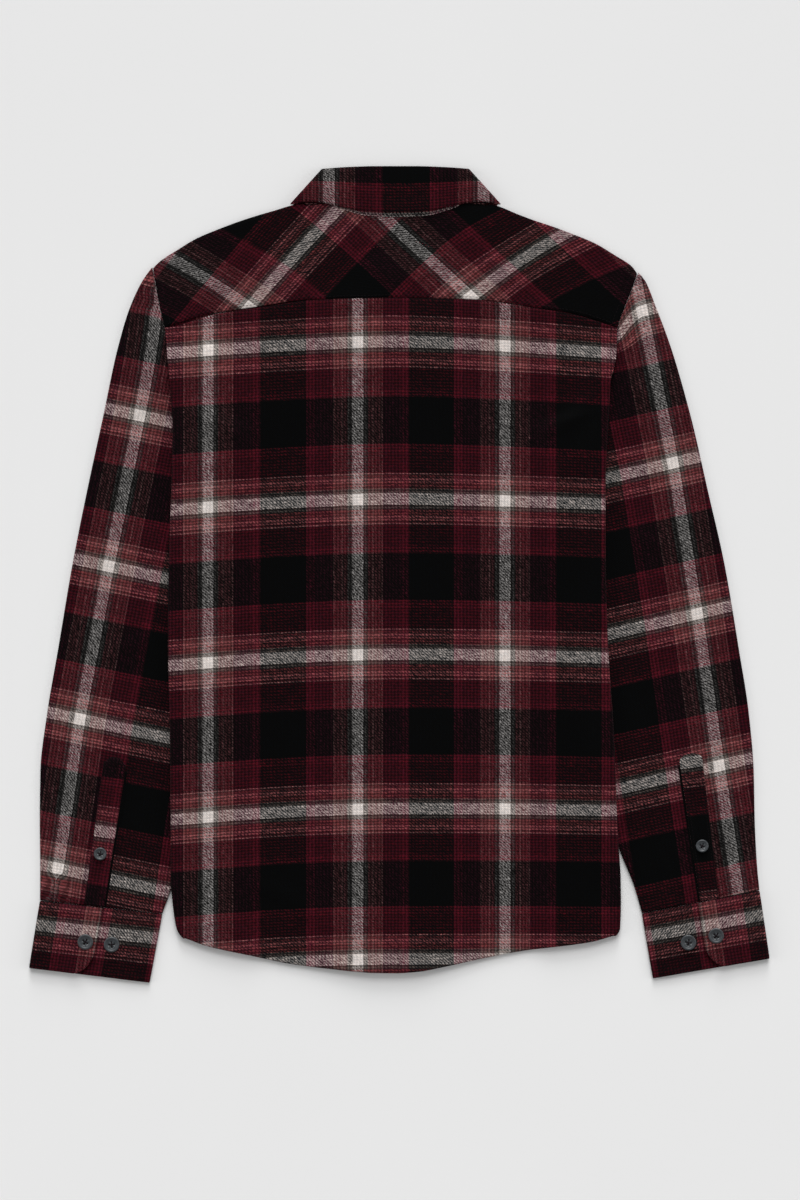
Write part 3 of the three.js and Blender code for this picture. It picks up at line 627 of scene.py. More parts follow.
def bands(tree, place, table, half, tone):
    """Constant bands of yarn colour, given by where each ends. tone: 1 for light yarns, -1 for dark."""
    ramp = tree.nodes.new("ShaderNodeValToRGB")
    ramp.color_ramp.interpolation = "CONSTANT"
    stops = ramp.color_ramp.elements
    begin = 0.0
    for number, (end, colour, stray) in enumerate(table):
        stop = stops[number] if number < 2 else stops.new(begin / half)
        stop.position = begin / half
        stop.color = (*[value / 255 * (1 + tone * stray) for value in colour], 1)
        begin = end
    tree.links.new(math_node(tree, "DIVIDE", place, half), ramp.inputs[0])
    return ramp.outputs[0]


# Yarn colours by band: where the band ends, its colour and how far light and dark yarns stray from it
WARP_BANDS = [
    (5.1, (181, 178, 176), 0.05), (9.9, (87, 85, 84), 0.2), (14.2, (96, 65, 68), 0.18),
    (15.6, (118, 92, 92), 0.15), (22.8, (96, 65, 68), 0.18), (24.1, (118, 92, 92), 0.15),
    (41.7, (62, 31, 43), 0.2), (49.9, (79, 35, 49), 0.2), (72, (12, 20, 24), 0.15),
]
WEFT_BANDS = [
    (5.4, (207, 196, 190), 0.05), (10, (100, 89, 84), 0.26), (16, (116, 66, 66), 0.26),
    (21, (140, 88, 88), 0.26), (23.6, (98, 52, 54), 0.26), (24.8, (150, 108, 106), 0.2),
    (45.4, (72, 23, 31), 0.3), (53.1, (85, 28, 37), 0.3), (76, (5, 5, 5), 0.15),
]
WEFT_SHARE = 0.5
TWILL_CONTRAST = 0.21
WHITE_LIFT = 0.085
YARN_CURVE = 3.0
YARN_STRAY = 1.0
YARN_WANDER = 1.1
YARN_JITTER = 2.6
SLUB_SCALE = 640.0
SLUB_STRETCH = {"warp": (1.0, 0.22, 1.0), "weft": (0.16, 1.0, 1.0)}
NAP = (0.004, 0.004, 0.004)


def every_other_pair(tree, yarn):
    """1 for two yarns, 0 for the next two."""
    turn = math_node(tree, "FRACT", math_node(tree, "MULTIPLY", yarn, 0.25))
    return math_node(tree, "LESS_THAN", turn, 0.45)


def yarn_set(tree, run, jitter, pitch, table, half):
    """Number of each yarn of warp or weft, its place in the check and its colour."""
    yarn = math_node(tree, "FLOOR", math_node(tree, "DIVIDE", math_node(tree, "ADD", run, jitter), pitch))
    place = math_node(tree, "PINGPONG", run, half)
    dark = bands(tree, place, table, half, -1)
    light = bands(tree, place, table, half, 1)
    return yarn, place, colour_mix(tree, every_other_pair(tree, yarn), dark, light)


def make_flannel():
    material, tree, shader = nodes_of("flannel")
    uv_map = tree.nodes.new("ShaderNodeUVMap")
    uv_map.uv_map = "fabric"
    source = uv_map.outputs[0]
    parts = tree.nodes.new("ShaderNodeSeparateXYZ")
    tree.links.new(source, parts.inputs[0])
    across = math_node(tree, "MULTIPLY", parts.outputs[0], 1000.0)
    along = math_node(tree, "MULTIPLY", parts.outputs[1], 1000.0)

    # Yarns wander a little, so that no stripe has a ruled edge, and a single yarn sits a little to one
    # side or the other, so that the twill line is broken
    wander = swing(tree, noise(tree, source, 160.0, 3.0, 0.6), 0.5, YARN_WANDER)
    across = math_node(tree, "ADD", across, wander)
    along = math_node(tree, "SUBTRACT", along, wander)
    jitter = swing(tree, noise(tree, source, 360.0), 0.5, YARN_JITTER)
    warp_yarn, warp_place, warp = yarn_set(tree, across, jitter, WARP_YARN, WARP_BANDS, WARP_HALF)
    weft_yarn, weft_place, weft = yarn_set(tree, along, jitter, WEFT_YARN, WEFT_BANDS, WEFT_HALF)

    # Two-and-two twill: which yarn shows runs on by one at each crossing. Slubs are streaks along each yarn
    over = every_other_pair(tree, math_node(tree, "ADD", warp_yarn, weft_yarn))
    share = sloped(tree, over, 2 * TWILL_CONTRAST, WEFT_SHARE - TWILL_CONTRAST)
    slub_warp = streaks(tree, source, SLUB_STRETCH["warp"])
    slub_weft = streaks(tree, source, SLUB_STRETCH["weft"])
    stray = math_node(tree, "MULTIPLY", math_node(tree, "SUBTRACT", slub_weft, slub_warp), YARN_STRAY)
    clamp = tree.nodes.new("ShaderNodeClamp")
    tree.links.new(math_node(tree, "ADD", share, stray), clamp.inputs[0])
    woven = colour_mix(tree, clamp.outputs[0], warp, weft)

    # Fuzz, slubs and slow blotches make it lighter and darker, and a nap lies over it
    fuzz = noise(tree, source, 900.0, 3.0, 0.7)
    lift = math_node(tree, "ADD", swing(tree, fuzz, 0.5, 0.3), 1.0)
    slub = math_node(tree, "ADD", swing(tree, math_node(tree, "ADD", slub_warp, slub_weft), 1.0, 0.25), 1.0)
    blotch = math_node(tree, "ADD", swing(tree, noise(tree, source, 26.0, 3.0, 0.55), 0.5, 0.1), 1.0)
    level = math_node(tree, "MULTIPLY", math_node(tree, "MULTIPLY", lift, slub), blotch)
    napped = vector_node(tree, "ADD", vector_node(tree, "SCALE", woven, level), NAP)

    # Where off-white crosses off-white both yarns are brushed up and read lighter
    both = math_node(
        tree, "MULTIPLY", math_node(tree, "LESS_THAN", warp_place, WARP_BANDS[0][0]),
        math_node(tree, "LESS_THAN", weft_place, WEFT_BANDS[0][0]),
    )
    gamma = tree.nodes.new("ShaderNodeGamma")
    gamma.inputs["Gamma"].default_value = YARN_CURVE
    brushed = vector_node(tree, "ADD", napped, math_node(tree, "MULTIPLY", both, WHITE_LIFT))
    tree.links.new(brushed, gamma.inputs[0])
    tree.links.new(gamma.outputs[0], shader.inputs["Base Color"])

    # Twill lines and nap in the surface
    rib = math_node(tree, "SINE", math_node(tree, "MULTIPLY", math_node(tree, "ADD", across, along), math.pi))
    ribs = math_node(tree, "MULTIPLY", rib, 0.35)
    relief = math_node(tree, "ADD", ribs, math_node(tree, "MULTIPLY", fuzz, 1.2))
    relief = math_node(tree, "ADD", relief, math_node(tree, "MULTIPLY", slub, 0.8))
    raise_surface(tree, shader, relief, 0.5, 0.00022)
    tree.links.new(sloped(tree, fuzz, 0.12, 0.84), shader.inputs["Roughness"])
    shader.inputs["Specular IOR Level"].default_value = 0.05
    shader.inputs["Sheen Weight"].default_value = 0.02
    shader.inputs["Sheen Roughness"].default_value = 0.55
    shader.inputs["Sheen Tint"].default_value = (0.9, 0.82, 0.82, 1)
    return material


def make_plain(name, colour, deep, scale, rough, relief, gloss=0.5):
    """A mottled plain surface, for buttons and thread."""
    material, tree, shader = nodes_of(name)
    place = tree.nodes.new("ShaderNodeTexCoord")
    shader.inputs["Specular IOR Level"].default_value = gloss
    grain = noise(tree, place.outputs["Object"], scale, 4.0, 0.6)
    tree.links.new(colour_mix(tree, grain, deep, colour), shader.inputs["Base Color"])
    raise_surface(tree, shader, grain, relief, 0.0001)
    tree.links.new(sloped(tree, grain, 0.2, rough - 0.1), shader.inputs["Roughness"])
    return material


FLANNEL = make_flannel()
BUTTON = make_plain("button_resin", (0.042, 0.047, 0.052), (0.02, 0.024, 0.028), 420.0, 0.42, 0.2)
THREAD_DARK = make_plain("thread_dark", (0.012, 0.007, 0.009), (0.006, 0.004, 0.005), 2600.0, 0.8, 0.6, 0.08)
THREAD_RED = make_plain("thread_red", (0.3, 0.035, 0.05), (0.16, 0.02, 0.03), 2600.0, 0.8, 0.6, 0.1)


# Fabric coordinates


def back_fabric(x, y):
    share = from_centre(x) / CHEST_HALF
    left = 11 * share**1.6
    right = straight_line([(-380, 0), (75, 6), (240, 13)], y) * share**1.6
    bow = np.where(np.asarray(x) < CENTRE_X, left, right)
    rows = [(228.8, 304), (75.0, 152), (-76.9, 0), (-227.9, -152), (-374.9, -304)]
    shift = np.where(np.asarray(x) < -60, 2.5 * ease(-np.asarray(x), 60, 180), 0)
    return x + 39.7 + shift, straight_line(rows, y + bow)


def yoke_fabric(x, y):
    """Each set of stripes bends down towards the shoulders in its own way."""
    warp_y = y + np.where(x < 0, 0.001 * x * x, -0.08 * x)
    weft_y = y + np.where(x < 0, 0.0005, 0.0014) * x * x
    u = ((warp_y + x) / math.sqrt(2) - 97.25) * 1.019
    v = ((weft_y - x) / math.sqrt(2) - 296.65) * 1.02
    u = u * (1 + 0.2 * ease(-x, 90, 200))
    v = np.where(x > 0, (v + 2 * WEFT_HALF) * (1 + 0.25 * ease(x, 40, 140)) - 2 * WEFT_HALF, v)
    return u, v


# Middle of the sleeve's off-white stripe: y, x. Rows of its check: y, place in the weft
SLEEVE_STRIPES = {
    -1: [
        (301, -212), (287, -226), (280, -232.8), (273, -234), (266, -233), (257, -237.6), (240, -239.2),
        (211.2, -243.5), (156.8, -253.3), (9.3, -283.7), (-140.6, -312.1), (-286.7, -333.3),
    ],
    1: [(259.2, 238.6), (110.3, 268.7), (-37.3, 292.5), (-186.1, 313.8), (-314.1, 333.2)],
}
SLEEVE_ROWS = {
    -1: [(156.8, 0), (9.3, -152), (-140.6, -304), (-286.7, -456)],
    1: [(259.2, 152), (110.3, 0), (-37.3, -152), (-186.1, -304)],
}
SLEEVE_SLANT = {-1: 0.207, 1: -0.225}
# The left sleeve's pleat swallows the off-white stripe just above the cuff
TUCK_SHARE = 0.119
TUCK = 6.5


def sleeve_fabric(x, y, side):
    stripe = straight_line(SLEEVE_STRIPES[side], y)
    level = y + SLEEVE_SLANT[side] * (x - stripe)
    stripe = straight_line(SLEEVE_STRIPES[side], level)
    to_seam = np.clip((stripe - x) * side, 0, 30) / 25
    level = level + 17 * to_seam**1.6 * ease(y, 200, 240)
    return (x - stripe) * 0.98, straight_line(SLEEVE_ROWS[side], level)

# Body panels

ROLL_STEPS = 8
HEM_STITCH = 5.2


def body_levels():
    hem = np.linspace(LOW_LEVEL, LOW_LEVEL + 9, fine(10))
    middle = np.arange(LOW_LEVEL + 13, 138, 4.5)
    armhole = np.arange(140, 238, 2.6)
    top = np.linspace(238, TOP_LEVEL, fine(6))
    return np.concatenate([hem, middle, armhole, top])


def body_half(levels, side, depth, height, shares):
    """Unfolded x, and the place of each point, from the centre to the end of the part folded under.

    depth counts the layers that lie outside this one in the fold.
    """
    level = levels[:, None]
    edge_y = row_y(level, float(side))
    angle = math.pi * (1 - ease(edge_y, *FOLD_OPENS))
    flap = flap_length(edge_y)
    start = body_edge(edge_y, side) - side * (roll_reach(FLAP_RADIUS, angle, flap) + 0.15 * depth)
    arc = roll_arc(FLAP_RADIUS - depth * LAYER, angle)
    y = row_y(level, side * shares[None, :])
    x = CENTRE_X + (start - CENTRE_X) * shares[None, :]
    steps = (np.arange(1, ROLL_STEPS + 1) / ROLL_STEPS)[None, :]
    out, down = roll_steps(arc, angle, steps)
    roll = np.stack([start + side * out, edge_y + 0 * out, height(start, edge_y) - down], 2)
    ways = (np.arange(1, fine(12) + 1) / fine(12))[None, :]
    end_x, end_z = roll[:, -1:, 0], roll[:, -1:, 2]
    under_x = end_x + side * np.cos(angle) * flap * ways
    lift = 14 * ways * (1 - ease(level, LOW_LEVEL, -305))
    settle = over_sleeve(under_x, edge_y + 0 * ways, side) - over_sleeve(end_x, edge_y, side)
    under_z = end_z - np.sin(angle) * flap * ways + np.where(angle > 3, settle, 0)
    under = np.stack([under_x, edge_y + lift, under_z], 2)
    unfolded = np.concatenate([x, start + side * arc * steps, start + side * arc + side * flap * ways], 1)
    return unfolded, np.concatenate([surface(x, y, height), roll, under], 1)


def hem_thickness(levels, columns):
    """A narrow turned hem: thicker cloth, pressed in along its stitches."""
    down = levels - LOW_LEVEL
    band = 0.55 * (1 - ease(down, 6.2, 7.6))
    dent = 0.3 * bell(down - 5.4, 0.7)
    return np.repeat((CLOTH + band - dent)[:, None], columns, 1)


def make_back():
    levels = body_levels()
    shares = np.linspace(0, 1, fine(56))[1:]
    left_x, left = body_half(levels, -1, 0, back_height, shares)
    right_x, right = body_half(levels, 1, 0, back_height, shares)
    y = row_y(levels, 0.0)[:, None]
    x = np.full_like(y, CENTRE_X)
    points = np.concatenate([left[:, ::-1], surface(x, y, back_height), right], 1)
    unfolded = np.concatenate([left_x[:, ::-1], x, right_x], 1)
    limit = seam_y(np.clip(from_centre(points[..., 0]) / CHEST_HALF, 0, 1)) - YOKE_SEAM_GAP
    points[..., 1] = np.minimum(points[..., 1], limit)
    below = limit - points[..., 1]
    points[..., 2] += seam_pucker(points[..., 0], below) * 0.6 - seam_dip(below)
    fabric = np.stack(back_fabric(unfolded, points[..., 1]), 2)
    return shell("back_cloth", points, fabric, hem_thickness(levels, points.shape[1]))


def wrap_length(share):
    return WRAP_LEAST + (YOKE_WRAP - WRAP_LEAST) * ease(np.abs(share), 0.42, 0.56)


def front_edge_y(share):
    """The front's neck edge, and past it the edge that meets the end of the yoke under the shoulder."""
    share = np.asarray(share, float)
    along = np.minimum(np.abs(share), SHOULDER_SHARE) / SHOULDER_SHARE
    neck = FRONT_NECK_Y - SEAM + (NECK_Y - 12 - FRONT_NECK_Y) * along**2.4
    past = shoulder_y(share) - FOLD_RADIUS - wrap_length(share) - SEAM
    return np.where(np.abs(share) < SHOULDER_SHARE, neck, past)


def front_top(level, share):
    return mix(seam_y(share), front_edge_y(share), (level - TOP_LEVEL) / (SHOULDER_END_Y - TOP_LEVEL))


def make_front(side):
    """The right front runs on under the placket, the left one ends beside it."""
    right = side > 0
    levels = body_levels()
    shares = np.linspace(0, 1, fine(48))[1:] if right else np.linspace(0.18, 1, fine(48))

    def height(x, y):
        return front_height(x, y) + (overlap_rise(x, y) if right else 0)

    unfolded, low = body_half(levels, side, 1, height, shares)
    low[0, :, 1] += FRONT_HEM_SHORTER
    upper_levels = np.linspace(TOP_LEVEL + 6, SHOULDER_END_Y, fine(12))[:, None]
    side_y = front_top(upper_levels, float(side))
    start = body_edge(side_y, side) - side * FRONT_MARGIN
    x = CENTRE_X + (start - CENTRE_X) * shares[None, :]
    y = front_top(upper_levels, side * shares[None, :])
    extra = low.shape[1] - shares.size
    ways = (np.arange(1, extra + 1) / extra)[None, :]
    margin = surface(start + side * FRONT_MARGIN * ways, side_y + 0 * ways, height)
    upper = np.concatenate([surface(x, y, height), margin], 1)
    points = np.concatenate([low, upper], 0)
    unfolded = np.concatenate([unfolded, upper[..., 0]], 0)
    if right:
        centre_x = np.linspace(CENTRE_X - PLACKET_HALF, CENTRE_X, 6)
        centre_y = np.concatenate([row_y(levels, 0.0), front_top(upper_levels[:, 0], 0.0)])
        centre_y[0] += FRONT_HEM_SHORTER
    else:
        centre_x = np.array([CENTRE_X - PLACKET_HALF - SEAM])
        centre_y = points[:, 0, 1]
    grid_x, grid_y = np.meshgrid(centre_x, centre_y)
    points = np.concatenate([surface(grid_x, grid_y, height), points], 1)
    unfolded = np.concatenate([grid_x, unfolded], 1)
    if not right:
        points = points[:, ::-1]
        unfolded = unfolded[:, ::-1]
    u, v = back_fabric(unfolded, points[..., 1])
    return shell(f"front_{SIDE_NAME[side]}_cloth", points, np.stack([u - 12, v], 2), CLOTH)


def make_placket():
    y = np.concatenate([row_y(body_levels(), 0.0), np.linspace(274, FRONT_NECK_Y - SEAM, 5)])
    y[0] += FRONT_HEM_SHORTER
    x = np.linspace(CENTRE_X - PLACKET_HALF, CENTRE_X + PLACKET_HALF, 17)
    grid_x, grid_y = np.meshgrid(x, y)
    inset = np.minimum(grid_x - x[0], x[-1] - grid_x)
    thick = CLOTH - 0.2 * bell(inset - 5, 1.2)
    u, v = back_fabric(grid_x, grid_y)
    points = surface(grid_x, grid_y, front_height)
    return shell("front_placket_cloth", points, np.stack([u - 20, v], 2), thick)


# Yoke


def yoke_top(share):
    along = np.abs(share) / SHOULDER_SHARE
    return np.where(along < 1, NECK_Y + BACK_NECK_RISE * (1 - along * along), shoulder_y(share))


def make_yoke():
    half = np.unique(np.concatenate([
        np.linspace(0, 0.34, fine(22)), np.linspace(0.34, 0.44, fine(16)), np.linspace(0.44, 1, fine(44)),
    ]))
    shares = np.concatenate([-half[:0:-1], half])[None, :]
    size = np.abs(shares)
    angle = math.pi * ease(size, 0.36, 0.42)
    arc = roll_arc(FOLD_RADIUS, angle)
    wrap = wrap_length(shares)
    end = yoke_top(shares) - roll_reach(FOLD_RADIUS, angle, wrap)
    start = seam_y(shares) + YOKE_SEAM_GAP

    def x_at(y):
        y = np.maximum(y, start)
        return mix(CENTRE_X, np.where(shares < 0, body_edge(y, -1), body_edge(y, 1)), size)

    # Close rows beside the seam, then even ones up to the shoulder
    near = np.array([0, 0.9, 2, 3.4, 5.2])[:, None]
    ways = np.linspace(0, 1, fine(26))[1:, None]
    low_y = np.concatenate([start + near, start + near[-1] + (end - start - near[-1]) * ways])
    low_x = x_at(low_y)
    distance = low_y - start
    low_z = back_height(low_x, low_y) + seam_pucker(low_x, distance) + 0.1 - seam_dip(distance, 0.35)

    # The roll over the shoulder, and the strip that lies under it on the front
    x = x_at(end)
    steps = (np.arange(1, 7) / 6)[:, None]
    out, down = roll_steps(arc, angle, steps)
    roll_y = end + out
    roll_z = back_height(x, end) - down
    under_ways = np.linspace(0, 1, 8)[1:, None]
    under_y = roll_y[-1] + np.cos(angle) * wrap * under_ways
    under_x = x_at(under_y)
    slanted = roll_z[-1] - np.sin(angle) * wrap * under_ways
    folded = mix(roll_z[-1], front_height(under_x, under_y), ease(under_ways, 0, 0.4))
    grid_x = np.concatenate([low_x, x + 0 * roll_y, under_x])
    grid_y = np.concatenate([low_y, roll_y, under_y])
    grid_z = np.concatenate([low_z, roll_z, np.where(angle > 3, folded, slanted)])
    unrolled = np.concatenate([low_y, end + arc * steps, end + arc + wrap * under_ways])
    fabric = np.stack(yoke_fabric(grid_x, unrolled), 2)
    return shell("back_yoke_cloth", np.stack([grid_x, grid_y, grid_z], 2), fabric, CLOTH)


# Sleeves

SLEEVE_KEYS = len(SLEEVES) + 1
ARMHOLE_KEYS = 9
TUCK_STEP = 0.0006
LAYER_TOP = 0.5 * CLOTH + LAYER


def armhole_line(side):
    """The sleeve's end: along the body's edge as far as it shows, then curved under the body."""
    seen = [ARMHOLE_TOP_Y - float(shoulder_drop(side)), 284, 263, 243, 212, 191.5]
    line = [(float(body_edge(y, side)) - side * ARMHOLE_UNDERLAP, y) for y in seen]
    start = np.array(line[-1])
    end = np.array([SLEEVES[-1][3 if side < 0 else 5], SLEEVES[-1][1]])
    bend = np.array([start[0] - side, 158.0])
    for way in (0.33, 0.66, 1):
        line.append(tuple(mix(mix(start, bend, way), mix(bend, end, way), way)))
    return np.array(line)


def sleeve_swell(x, y, side, share):
    """Looseness of the sleeve's upper layer, none at its folds, at its seams and under the body."""
    loose = 0.5 + 0.3 * uneven(x, y, 1.2) + 0.12 * uneven(x + 31, y, 0.6) + crease(x, y, SLEEVE_CREASES[side])
    folds = ease(share, 0, 0.16) * (1 - ease(share, 0.9, 1))
    under_body = ease((x - body_edge(y, side)) * side, 2, 16)
    return folds * (0.3 + 0.7 * under_body) * np.maximum(loose, 0) * mix(0.35, 1, under_body)


def pleat_rise(x, y, side):
    """Pleats above the cuff: a steep step on one side, a slow fall on the other."""
    total = np.zeros(np.shape(x))
    for low, high, height, way in PLEATS[side]:
        along, across, _ = beside_line(x, y, low, high)
        across = across * way
        profile = np.where(across > 0, bell(across, 6.5), bell(across, 0.8)) + -0.5 * bell(across + 1.6, 1.1)
        fade = (1 - ease(along, 0.35, 1)) * ease(along, -0.3, 0)
        total = total + height * fade * profile
    return total


def sleeve_edge(corner, index, heights, places):
    """x and y along one edge of a sleeve, from its cuff corner on."""
    keys = np.arange(SLEEVE_KEYS)
    xs = [corner[0]] + column(SLEEVES, index)
    ys = [corner[1] + 2 * SEAM] + heights
    return np.stack([smooth_line(keys, xs, places), smooth_line(keys, ys, places)], 1)


def half_round(end, towards, high_z):
    """The fold at the sleeve's edge, from the lower layer to the upper one."""
    low_z = CLOTH / 2
    turns = np.array([0.25, 0.5, 0.75])[None, :, None] * math.pi
    middle = 0.5 * (low_z + high_z)[:, None]
    reach = 0.5 * (high_z - low_z)[:, None]
    flat_xy = end[:, None, :] - towards[:, None, :] * FOLD_RADIUS * np.sin(turns)
    return np.concatenate([flat_xy, (middle - reach * np.cos(turns[..., 0]))[..., None]], 2)


def make_sleeve(side):
    line = armhole_line(side)
    outer_y = column(SLEEVES, 0)
    outer_y[-1] -= float(shoulder_drop(side))
    key_y = [CUFFS[side][0][1] + 2 * SEAM] + outer_y
    places = [0.0]
    step = 4.2
    for number in range(SLEEVE_KEYS - 1):
        count = max(2, round(abs(key_y[number + 1] - key_y[number]) / step))
        places.extend(number + (np.arange(count) + 1) / count)
    places = np.array(sorted(set(places) | {0.03, 0.07}))
    outer = sleeve_edge(CUFFS[side][0], 2 if side < 0 else 4, outer_y, places)
    inner = sleeve_edge(CUFFS[side][1], 3 if side < 0 else 5, column(SLEEVES, 1), places)
    curve = smooth_line(np.arange(SLEEVE_KEYS), [0] + column(SLEEVES, 6), places)[:, None, None]
    share = np.linspace(0, 1, fine(64))
    if side < 0:
        share = np.sort(np.concatenate([share, [TUCK_SHARE - TUCK_STEP, TUCK_SHARE + TUCK_STEP]]))
    last_key = ARMHOLE_KEYS - 1
    bowed = [smooth_line(np.arange(ARMHOLE_KEYS), line[:, axis], share * last_key) for axis in (0, 1)]
    flat = outer[:, None] + (inner - outer)[:, None] * share[None, :, None]
    flat = flat + curve * (np.stack(bowed, 1) - mix(line[0], line[last_key], share[:, None]))[None]
    first = flat[:, 1] - flat[:, 0]
    last = flat[:, -2] - flat[:, -1]
    first /= np.linalg.norm(first, axis=1, keepdims=True)
    last /= np.linalg.norm(last, axis=1, keepdims=True)
    flat[:, 0] += first * FOLD_RADIUS
    flat[:, -1] += last * FOLD_RADIUS
    x, y = flat[..., 0], flat[..., 1]
    shares = np.broadcast_to(share, x.shape)

    # The upper layer puckers at the armhole and dips at both seams
    top_z = LAYER_TOP + sleeve_swell(x, y, side, shares) + pleat_rise(x, y, side)
    from_seam = np.minimum(places, SLEEVE_KEYS - 1 - places)[:, None] * 28
    pucker = 0.3 * np.sin(y / 2.3 + 2 * np.sin(y / 15)) * np.exp(-from_seam / 4)
    top_z = top_z + pucker * np.where(places[:, None] > 6, 1, 0) - seam_dip(from_seam, 0.3, 1.2)
    top_z = np.maximum(top_z, CLOTH / 2 + 1.15)
    bottom = np.stack([x, y, np.full_like(top_z, CLOTH / 2)], 2)
    top = np.stack([x, y, top_z], 2)
    inner_fold = half_round(flat[:, -1], last, top_z[:, -1])
    outer_fold = half_round(flat[:, 0], first, top_z[:, 0])[:, ::-1]
    points = np.concatenate([bottom, inner_fold, top[:, ::-1], outer_fold], 1)

    # The check runs on round both folds
    u_top, v_top = sleeve_fabric(x[:, ::-1], y[:, ::-1], side)
    if side < 0:
        hidden = TUCK * (1 - ease(y, -300, -289)) * np.where(shares < TUCK_SHARE, -1, 1)
        hidden = hidden * (1 - ease(np.abs(shares - TUCK_SHARE), 0.02, 0.12))
        u_top = u_top + hidden[:, ::-1]
    mirrored_x = 2 * flat[:, -1:, 0] - x - side * math.pi * FOLD_RADIUS
    u_low, v_low = sleeve_fabric(mirrored_x, y, side)
    fold_step = side * math.pi * FOLD_RADIUS / 4
    turns = np.arange(1, 5)
    inner_u = u_top[:, :1] - fold_step * (4 - turns[:3])
    inner_v = mix(v_low[:, -1:], v_top[:, :1], turns[:3] / 4)
    outer_u = u_top[:, -1:] + fold_step * turns
    outer_v = v_top[:, -1:] + 0 * turns
    u = np.concatenate([u_low, inner_u, u_top, outer_u], 1)
    v = np.concatenate([v_low, inner_v, v_top, outer_v], 1)
    return shell(f"sleeve_{SIDE_NAME[side]}_cloth", points, np.stack([u, v], 2), CLOTH, ring=True)


def sleeve_top(x, y, side):
    """Height of the sleeve's upper layer near its cuff, where its placket lies."""
    share = np.clip((x - side * 350) / (side * 222 - side * 350), 0, 1)
    return LAYER_TOP + sleeve_swell(x, y, side, share) + pleat_rise(x, y, side)


# Cuffs

CUFF_PLAID = {-1: (-69.5, -21), 1: (-68, -17)}
CUFF_PLAID_Y = 23.5
CUFF_ROUND = 288
CUFF_STITCH = 5.2


def cuff_sizes(side):
    """Corners of a cuff, its width and its depth."""
    corners = [np.array(point, float) for point in CUFFS[side]]
    return corners, math.hypot(*(corners[1] - corners[0])), math.hypot(*(corners[2] - corners[0]))


def cuff_place(side, across, down):
    (top_outer, top_inner, end_outer, end_inner), width, _ = cuff_sizes(side)
    share = np.asarray(across)[..., None] / width
    down = np.asarray(down)[..., None]
    return mix(mix(top_outer, top_inner, share), mix(end_outer, end_inner, share), down)


def cuff_swell(across, down):
    """Soft unevenness of a cuff's upper layer."""
    wave = 0.22 * uneven(across * 2.2, down * 120, 0.8) + 0.2
    return wave * ease(across, 4, 18) * (1 - ease(across, 104, 114))


def cuff_flap_end(down):
    """The end of the cuff's upper lap, with its rounded corner."""
    past = np.clip((down - 0.62) / 0.38, 0, 1)
    return CUFF_FLAP_END - CUFF_FLAP_CORNER * (1 - np.sqrt(1 - past * past * 0.98))


def turn_fabric(start, end, turns):
    return mix(start, end, np.arange(1, len(turns) + 1) / (len(turns) + 1))


def make_cuff(side):
    _, width, depth = cuff_sizes(side)
    downs = [np.linspace(0, 0.1, 5), np.linspace(0.1, 0.9, fine(24)), np.linspace(0.9, 1, 8)]
    downs = np.unique(np.concatenate(downs))
    low = CUFF_CLOTH / 2
    inner = CUFF_LAYER / 2
    outer = CUFF_LAYER
    turns_in = np.linspace(0, 1, 7)[1:-1] * math.pi
    turns_out = np.linspace(0, 1, 9)[1:-1] * math.pi
    lid_start, under_start = CUFF_PLAID[side]
    rows = []
    maps = []
    for down, last in zip(downs, cuff_flap_end(downs)):
        upper = np.linspace(CUFF_UNDER_END, width - inner, fine(34))
        lower = np.linspace(width - inner, outer, fine(40))
        lid = np.sort(np.concatenate([np.linspace(outer, last, fine(34)), last - np.array([0.6, 1.6, 3.0])]))
        across = np.concatenate([
            upper, width - inner + inner * np.sin(turns_in), lower, outer - outer * np.sin(turns_out), lid,
        ])
        upper_z = low + CUFF_LAYER + cuff_swell(upper, down) * ease(upper, last + 1, last + 12)
        lid_z = low + 2 * CUFF_LAYER + CUFF_FLAP_SPACE + cuff_swell(lid, down)
        lid_z = lid_z + CUFF_FLAP_LIFT * ease(lid, last - 16, last)
        height = np.concatenate([
            upper_z, low + inner + inner * np.cos(turns_in), low + 0 * lower,
            low + outer - outer * np.cos(turns_out), lid_z,
        ])
        place = cuff_place(side, across, np.full_like(across, down))
        rows.append(np.concatenate([place, height[:, None]], 1))
        under_u = upper + under_start - CUFF_ROUND
        bottom_u = mix(width + under_start - CUFF_ROUND, lid_start, (width - lower) / width)
        lid_u = lid + lid_start
        turn_in_u = turn_fabric(under_u[-1], bottom_u[0], turns_in)
        turn_out_u = turn_fabric(bottom_u[-1], lid_u[0], turns_out)
        u = np.concatenate([under_u, turn_in_u, bottom_u, turn_out_u, lid_u])
        maps.append(np.stack([u, np.full_like(u, CUFF_PLAID_Y - down * depth)], 1))
    points = np.array(rows)
    inset = np.minimum(downs, 1 - downs)[:, None] * depth
    stitch = 0.3 * bell(inset - CUFF_STITCH, 0.9)
    seam = 0.35 * (1 - ease(inset, 0.4, 3.5))
    thick = np.broadcast_to(CUFF_CLOTH - stitch - seam, points.shape[:2])
    return shell(f"cuff_{SIDE_NAME[side]}_cloth", points, np.array(maps), thick)


# Sleeve plackets

STRIP_PLAID = {-1: (39.0, 73.0), 1: (61.0, 136.0)}
STRIP_STITCH = 2.2
STRIP_LIFT = 0.7
SLIT_CLOTH = 0.4
SLIT_ENDS_BELOW = 6.0
# Place in the check where warp and weft are both darkest, given to the slit strip as painted shadow
SHADOW_BLACK_PLAID = (WARP_HALF - 11, WEFT_HALF - 11)


def strip_axes(side):
    start, end, half_start, half_end, peak = PLACKETS[side]
    start, end = np.array(start, float), np.array(end, float)
    length = math.hypot(*(end - start))
    along = (end - start) / length
    return start, along, np.array([along[1], -along[0]]), length, half_start, half_end, peak


